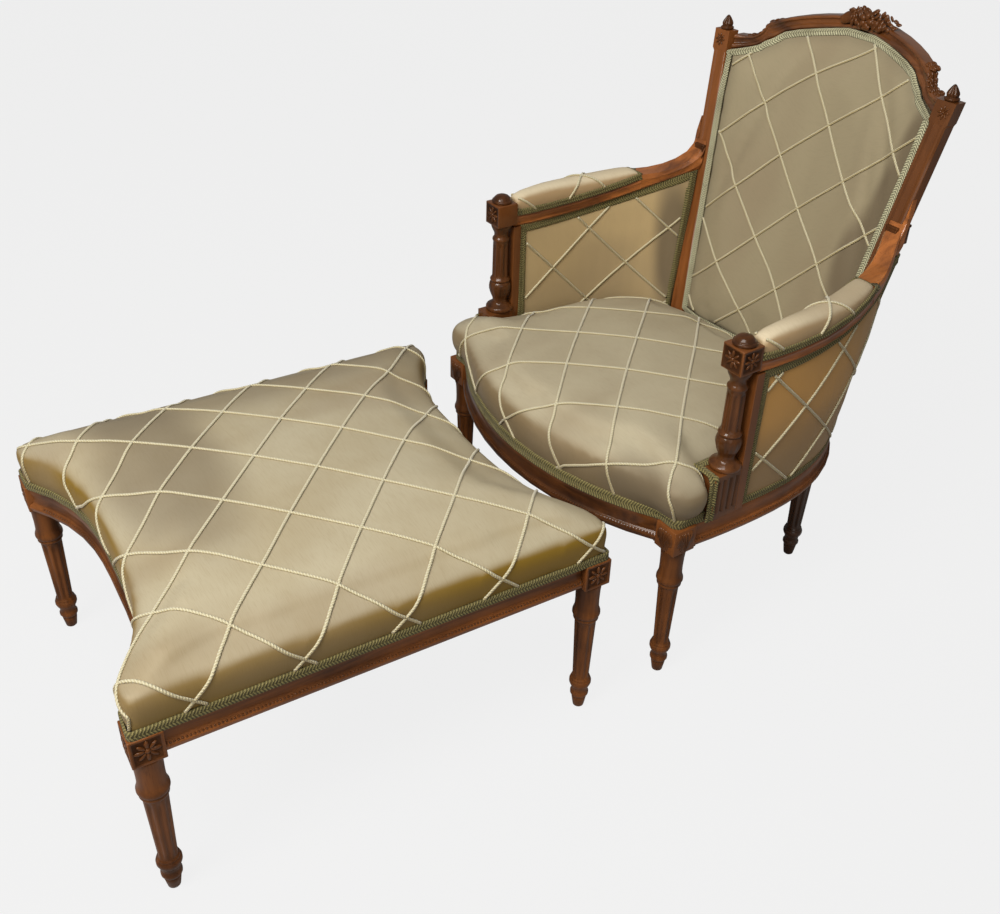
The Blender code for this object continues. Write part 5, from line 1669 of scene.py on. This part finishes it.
def add_cords(name, bm):
    close_up(bm)
    add_piece(name, bm, "cord")


class MakeTrellis(ArmchairOperator):
    """Lays the crossed cords over seat, back, arms and footstool"""
    bl_idname = "armchair.make_trellis"
    bl_label = "Trellis cords"

    def lines(self, bm, grid, nodes, land):
        """Cords both ways over a surface; land turns a flat place into a point and its normal."""
        for way in (0, 1):
            for number in LINE_NUMBERS:
                found = []
                for step in LINE_STEPS:
                    walk = step * LINE_STEP
                    first, second = (number, walk) if way == 0 else (walk, number)
                    found.append(land(laid(grid, nodes, first, second)))
                add_runs(bm, found)

    def over_edge(self, name, cover, place, rim, edge_z, skirt, grid, nodes):
        """Cords that cross on a seat and run on down its sides."""
        surface = tree_of(bpy.data.objects[cover])
        back = place.inverted()
        outline = [(back @ point).xy for point in rim]
        bm = strand_mesh()
        self.lines(
            bm, grid, nodes, lambda flat: self.roll_down(surface, place, outline, flat, edge_z, skirt))
        add_cords(name, bm)

    def over_back(self):
        surface = tree_of(bpy.data.objects["back_cover"])
        outline = [Vector(((CHAIR.inverted() @ point).x, point.z)) for point in rims["back"]]

        def land(flat):
            if not inside(flat, outline) or nearest_on(flat, outline)[1] < sizes().gimp_width * BACK_MARGIN:
                return None
            spot, normal = surface.ray_cast(CHAIR @ Vector((flat.x, -1.0, flat.y)), BACKWARD)[:2]
            return None if spot is None else (spot, normal)

        bm = strand_mesh()
        self.lines(bm, BACK_FRAME, BACK_NODES, land)
        add_cords("back_cords", bm)

    def roll_down(self, surface, place, outline, flat, edge_z, skirt):
        """Where a flat point lands on a cover: past the edge it turns down and goes on along the side."""
        if abs(flat.x) > FAR_OFF[0] or abs(flat.y - outline[0].y) > FAR_OFF[1]:
            return None
        foot, away = nearest_on(flat, outline)
        if inside(flat, outline):
            away = -away
        if away > skirt:
            return None
        share = min(max((away / ROLL + 1) / 2, 0), 1)
        if share == 0:
            aim, tip = flat, UP
            level = edge_z
        else:
            inward = (flat - foot) if away < 0 else (foot - flat)
            inward = inward.normalized() if inward.length > WELD else (-foot).normalized()
            tip = Vector((*(-inward * math.sin(share * math.pi / 2)), math.cos(share * math.pi / 2)))
            aim = foot + inward * ROLL
            level = edge_z - ROLL - max(away - ROLL, 0)
        middle = Vector((*aim, level))
        start = place @ (middle + tip * PROBE_START)
        spot, normal = surface.ray_cast(start, place.to_3x3() @ -tip, PROBE_LENGTH)[:2]
        return None if spot is None else (spot, normal)

    def on_face(self, name, way, node, droop):
        """Two sets of slanting cords inside the gimp of an arm panel that is seen along X."""
        surface = tree_of(bpy.data.objects[name + "_cover"])
        outline = [(CHAIR.inverted() @ point).yz for point in rims[name]]
        bm = strand_mesh()
        slope = PANEL_HALF[1] / PANEL_HALF[0]
        for sign in (1, -1):
            for number in range(-5, 6):
                found = []
                for step in range(-160, 161):
                    h = node[0] + step * PANEL_STEP
                    v = node[1] + (sign * slope - droop) * (h - node[0]) + 2 * PANEL_HALF[1] * number
                    flat = Vector((h, v))
                    margin = sizes().gimp_width * PANEL_MARGIN
                    if not inside(flat, outline) or nearest_on(flat, outline)[1] < margin:
                        found.append(None)
                        continue
                    spot, normal = surface.ray_cast(CHAIR @ Vector((-way, h, v)), Vector((way, 0, 0)))[:2]
                    found.append(None if spot is None else (spot, normal))
                add_runs(bm, found)
        add_cords(name + "_cords", bm)

    def over_pad(self, word):
        """Cords that cross on top of an arm pad and run down to its gimp."""
        name = "arm_pad_" + word
        surface = tree_of(bpy.data.objects[name + "_cover"])
        low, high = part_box(name)
        pad_middle = (CHAIR @ Vector((0, PAD_MIDDLE, 0))).y
        bm = strand_mesh()
        for sign in (1, -1):
            for number in range(-2, 5):
                found = []
                for step in range(-30, 31):
                    w = step * PAD_STEP
                    y = pad_middle + PAD_SPACING * number + sign * w * PAD_SLANT
                    if not low.y + PAD_END < y < high.y - PAD_END:
                        found.append(None)
                        continue
                    top = surface.ray_cast(Vector(((low.x + high.x) / 2, y, 1.0)), -UP)
                    level = high.z - 0.02 if top[0] is None else top[0].z - 0.012
                    west = surface.ray_cast(Vector((low.x - 0.1, y, level)), Vector((1, 0, 0)))[0]
                    east = surface.ray_cast(Vector((high.x + 0.1, y, level)), Vector((-1, 0, 0)))[0]
                    if west is None or east is None:
                        found.append(None)
                        continue
                    centre = (west.x + east.x) / 2
                    half = (east.x - west.x) / 2 * 0.9
                    reach = max(min(w, half), -half)
                    drop = max(abs(w) - half, 0)
                    crown = surface.ray_cast(Vector((centre + reach * 0.98, y, 1.0)), -UP)[0]
                    base = level if crown is None else crown.z
                    spot, normal = surface.find_nearest(Vector((centre + reach, y, base - drop)))[:2]
                    if spot.z < base - PAD_SKIRT or normal.z < -0.2:
                        found.append(None)
                        continue
                    found.append((spot, normal))
                add_runs(bm, found)
        add_cords(name + "_cords", bm)

    def make(self):
        self.over_edge(
            "seat_cords", "seat_cover", CHAIR, rims["seat"], SEAT_EDGE, SEAT_SKIRT, SEAT_FRAME, SEAT_NODES)
        self.over_edge(
            "stool_cords", "stool_cover", STOOL, rims["stool"], STOOL_EDGE, STOOL_SKIRT, STOOL_FRAME,
            STOOL_NODES)
        self.over_back()
        for word, side in SIDES:
            for inner, way, node, droop in (
                    ("inner", side, INNER_NODE, INNER_DROOP), ("outer", -side, OUTER_NODE, 0.0)):
                name = "arm_" + inner + "_panel_" + word
                self.on_face(name, way, node, droop)
            self.over_pad(word)


class FinishInside(ArmchairOperator):
    """Gives the webbing and the springs their finish"""
    bl_idname = "armchair.finish_inside"
    bl_label = "Webbing and springs"

    def make(self):
        for name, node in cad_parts.items():
            if "webbing" in name or "spring" in name:
                node.data.materials.clear()
                node.data.materials.append(finish("jute" if "webbing" in name else "steel"))


class MakeStage(ArmchairOperator):
    """Sets up the floor, the lamps, the world and the camera"""
    bl_idname = "armchair.make_stage"
    bl_label = "Stage"

    def lamp(self, name, spot, aim, size, power):
        data = bpy.data.lights.new(name, "AREA")
        data.shape = "RECTANGLE"
        data.size = size[0]
        data.size_y = size[1]
        data.energy = power
        lamp = bpy.data.objects.new(name, data)
        bpy.context.scene.collection.objects.link(lamp)
        lamp.location = spot
        lamp.rotation_euler = (Vector(aim) - Vector(spot)).to_track_quat("-Z", "Y").to_euler()

    def mix_for_camera(self, tree, share, lit, shown, output):
        """What lights the piece and what the camera sees, which differ."""
        path = tree.nodes.new("ShaderNodeLightPath")
        scale = tree.nodes.new("ShaderNodeMath")
        scale.operation = "MULTIPLY"
        scale.inputs[1].default_value = share
        mix = tree.nodes.new("ShaderNodeMixShader")
        tree.links.new(path.outputs["Is Camera Ray"], scale.inputs[0])
        tree.links.new(scale.outputs[0], mix.inputs["Fac"])
        tree.links.new(lit.outputs[0], mix.inputs[1])
        tree.links.new(shown.outputs[0], mix.inputs[2])
        tree.links.new(mix.outputs[0], tree.nodes[output].inputs["Surface"])

    def floor(self):
        bm = bmesh.new()
        bmesh.ops.create_grid(bm, x_segments=1, y_segments=1, size=30)
        mesh = bpy.data.meshes.new("floor")
        bm.to_mesh(mesh)
        bm.free()
        floor = bpy.data.objects.new("floor", mesh)
        bpy.context.scene.collection.objects.link(floor)
        material = bpy.data.materials.new("studio_floor")
        material.use_nodes = True
        tree = material.node_tree
        shader = tree.nodes["Principled BSDF"]
        shader.inputs["Base Color"].default_value = tones().floor_shade
        shader.inputs["Roughness"].default_value = 0.9
        shader.inputs["Specular IOR Level"].default_value = 0.0
        glow = tree.nodes.new("ShaderNodeEmission")
        glow.inputs["Color"].default_value = tones().floor
        self.mix_for_camera(tree, FLOOR_GLOW, shader, glow, "Material Output")
        mesh.materials.append(material)

    def world(self):
        world = bpy.data.worlds.new("studio")
        world.use_nodes = True
        tree = world.node_tree
        light = tree.nodes["Background"]
        light.inputs["Color"].default_value = (1.0, 0.985, 0.96, 1)
        light.inputs["Strength"].default_value = WORLD_LIGHT
        shown = tree.nodes.new("ShaderNodeBackground")
        shown.inputs["Color"].default_value = tones().floor
        self.mix_for_camera(tree, 1.0, light, shown, "World Output")
        bpy.context.scene.world = world

    def camera(self):
        turn, tip, roll = (math.radians(value) for value in CAMERA_ANGLES)
        back = Vector((math.sin(turn) * math.cos(tip), -math.cos(turn) * math.cos(tip), math.sin(tip)))
        level = Vector((math.cos(turn), math.sin(turn), 0))
        up = back.cross(level)
        right = math.cos(roll) * level + math.sin(roll) * up
        upward = -math.sin(roll) * level + math.cos(roll) * up
        place = Matrix((right, upward, back)).transposed().to_4x4()
        place.translation = CHAIR @ Vector(CAMERA_PLACE)
        data = bpy.data.cameras.new("camera")
        data.sensor_width = 36
        data.lens = CAMERA_LENS
        data.shift_x, data.shift_y = CAMERA_SHIFT
        camera = bpy.data.objects.new("camera", data)
        bpy.context.scene.collection.objects.link(camera)
        camera.matrix_world = place
        bpy.context.scene.camera = camera

    def make(self):
        scene = bpy.context.scene
        scene.view_settings.view_transform = "Standard"
        self.floor()
        self.world()
        for lamp in LAMPS:
            self.lamp(*lamp)
        self.camera()


class ArmchairPanel(bpy.types.Panel):
    """Lists what the armchair and its footstool are dressed with"""
    bl_idname = "ARMCHAIR_PT_dress"
    bl_label = "Armchair and footstool"
    bl_space_type = "VIEW_3D"
    bl_region_type = "UI"
    bl_category = "Armchair"

    def draw(self, context):
        for group in (context.scene.armchair_sizes, context.scene.armchair_colours):
            for name in group.bl_rna.properties.keys():
                if name not in ("rna_type", "name"):
                    self.layout.prop(group, name)
        for operator in OPERATORS:
            self.layout.operator(operator.bl_idname)


OPERATORS = (
    MakeStage, MakeLegs, MakeUprights, MakePosts, MakeFinials, MakeFrame, MakeBeads, MakeRosettes, MakeCrest,
    MakeDips, MakeSeat, MakeStool, MakeBack, MakeArms, MakeGimp, MakeTrellis, FinishInside,
)
CLASSES = (ArmchairSizes, ArmchairColours) + OPERATORS + (ArmchairPanel,)


def register():
    for item in CLASSES:
        bpy.utils.register_class(item)
    bpy.types.Scene.armchair_sizes = bpy.props.PointerProperty(type=ArmchairSizes)
    bpy.types.Scene.armchair_colours = bpy.props.PointerProperty(type=ArmchairColours)


def unregister():
    del bpy.types.Scene.armchair_colours
    del bpy.types.Scene.armchair_sizes
    for item in reversed(CLASSES):
        bpy.utils.unregister_class(item)


def main():
    register()
    for operator in OPERATORS:
        group, name = operator.bl_idname.split(".")
        getattr(getattr(bpy.ops, group), name)()


if __name__ == "__main__":
    main()
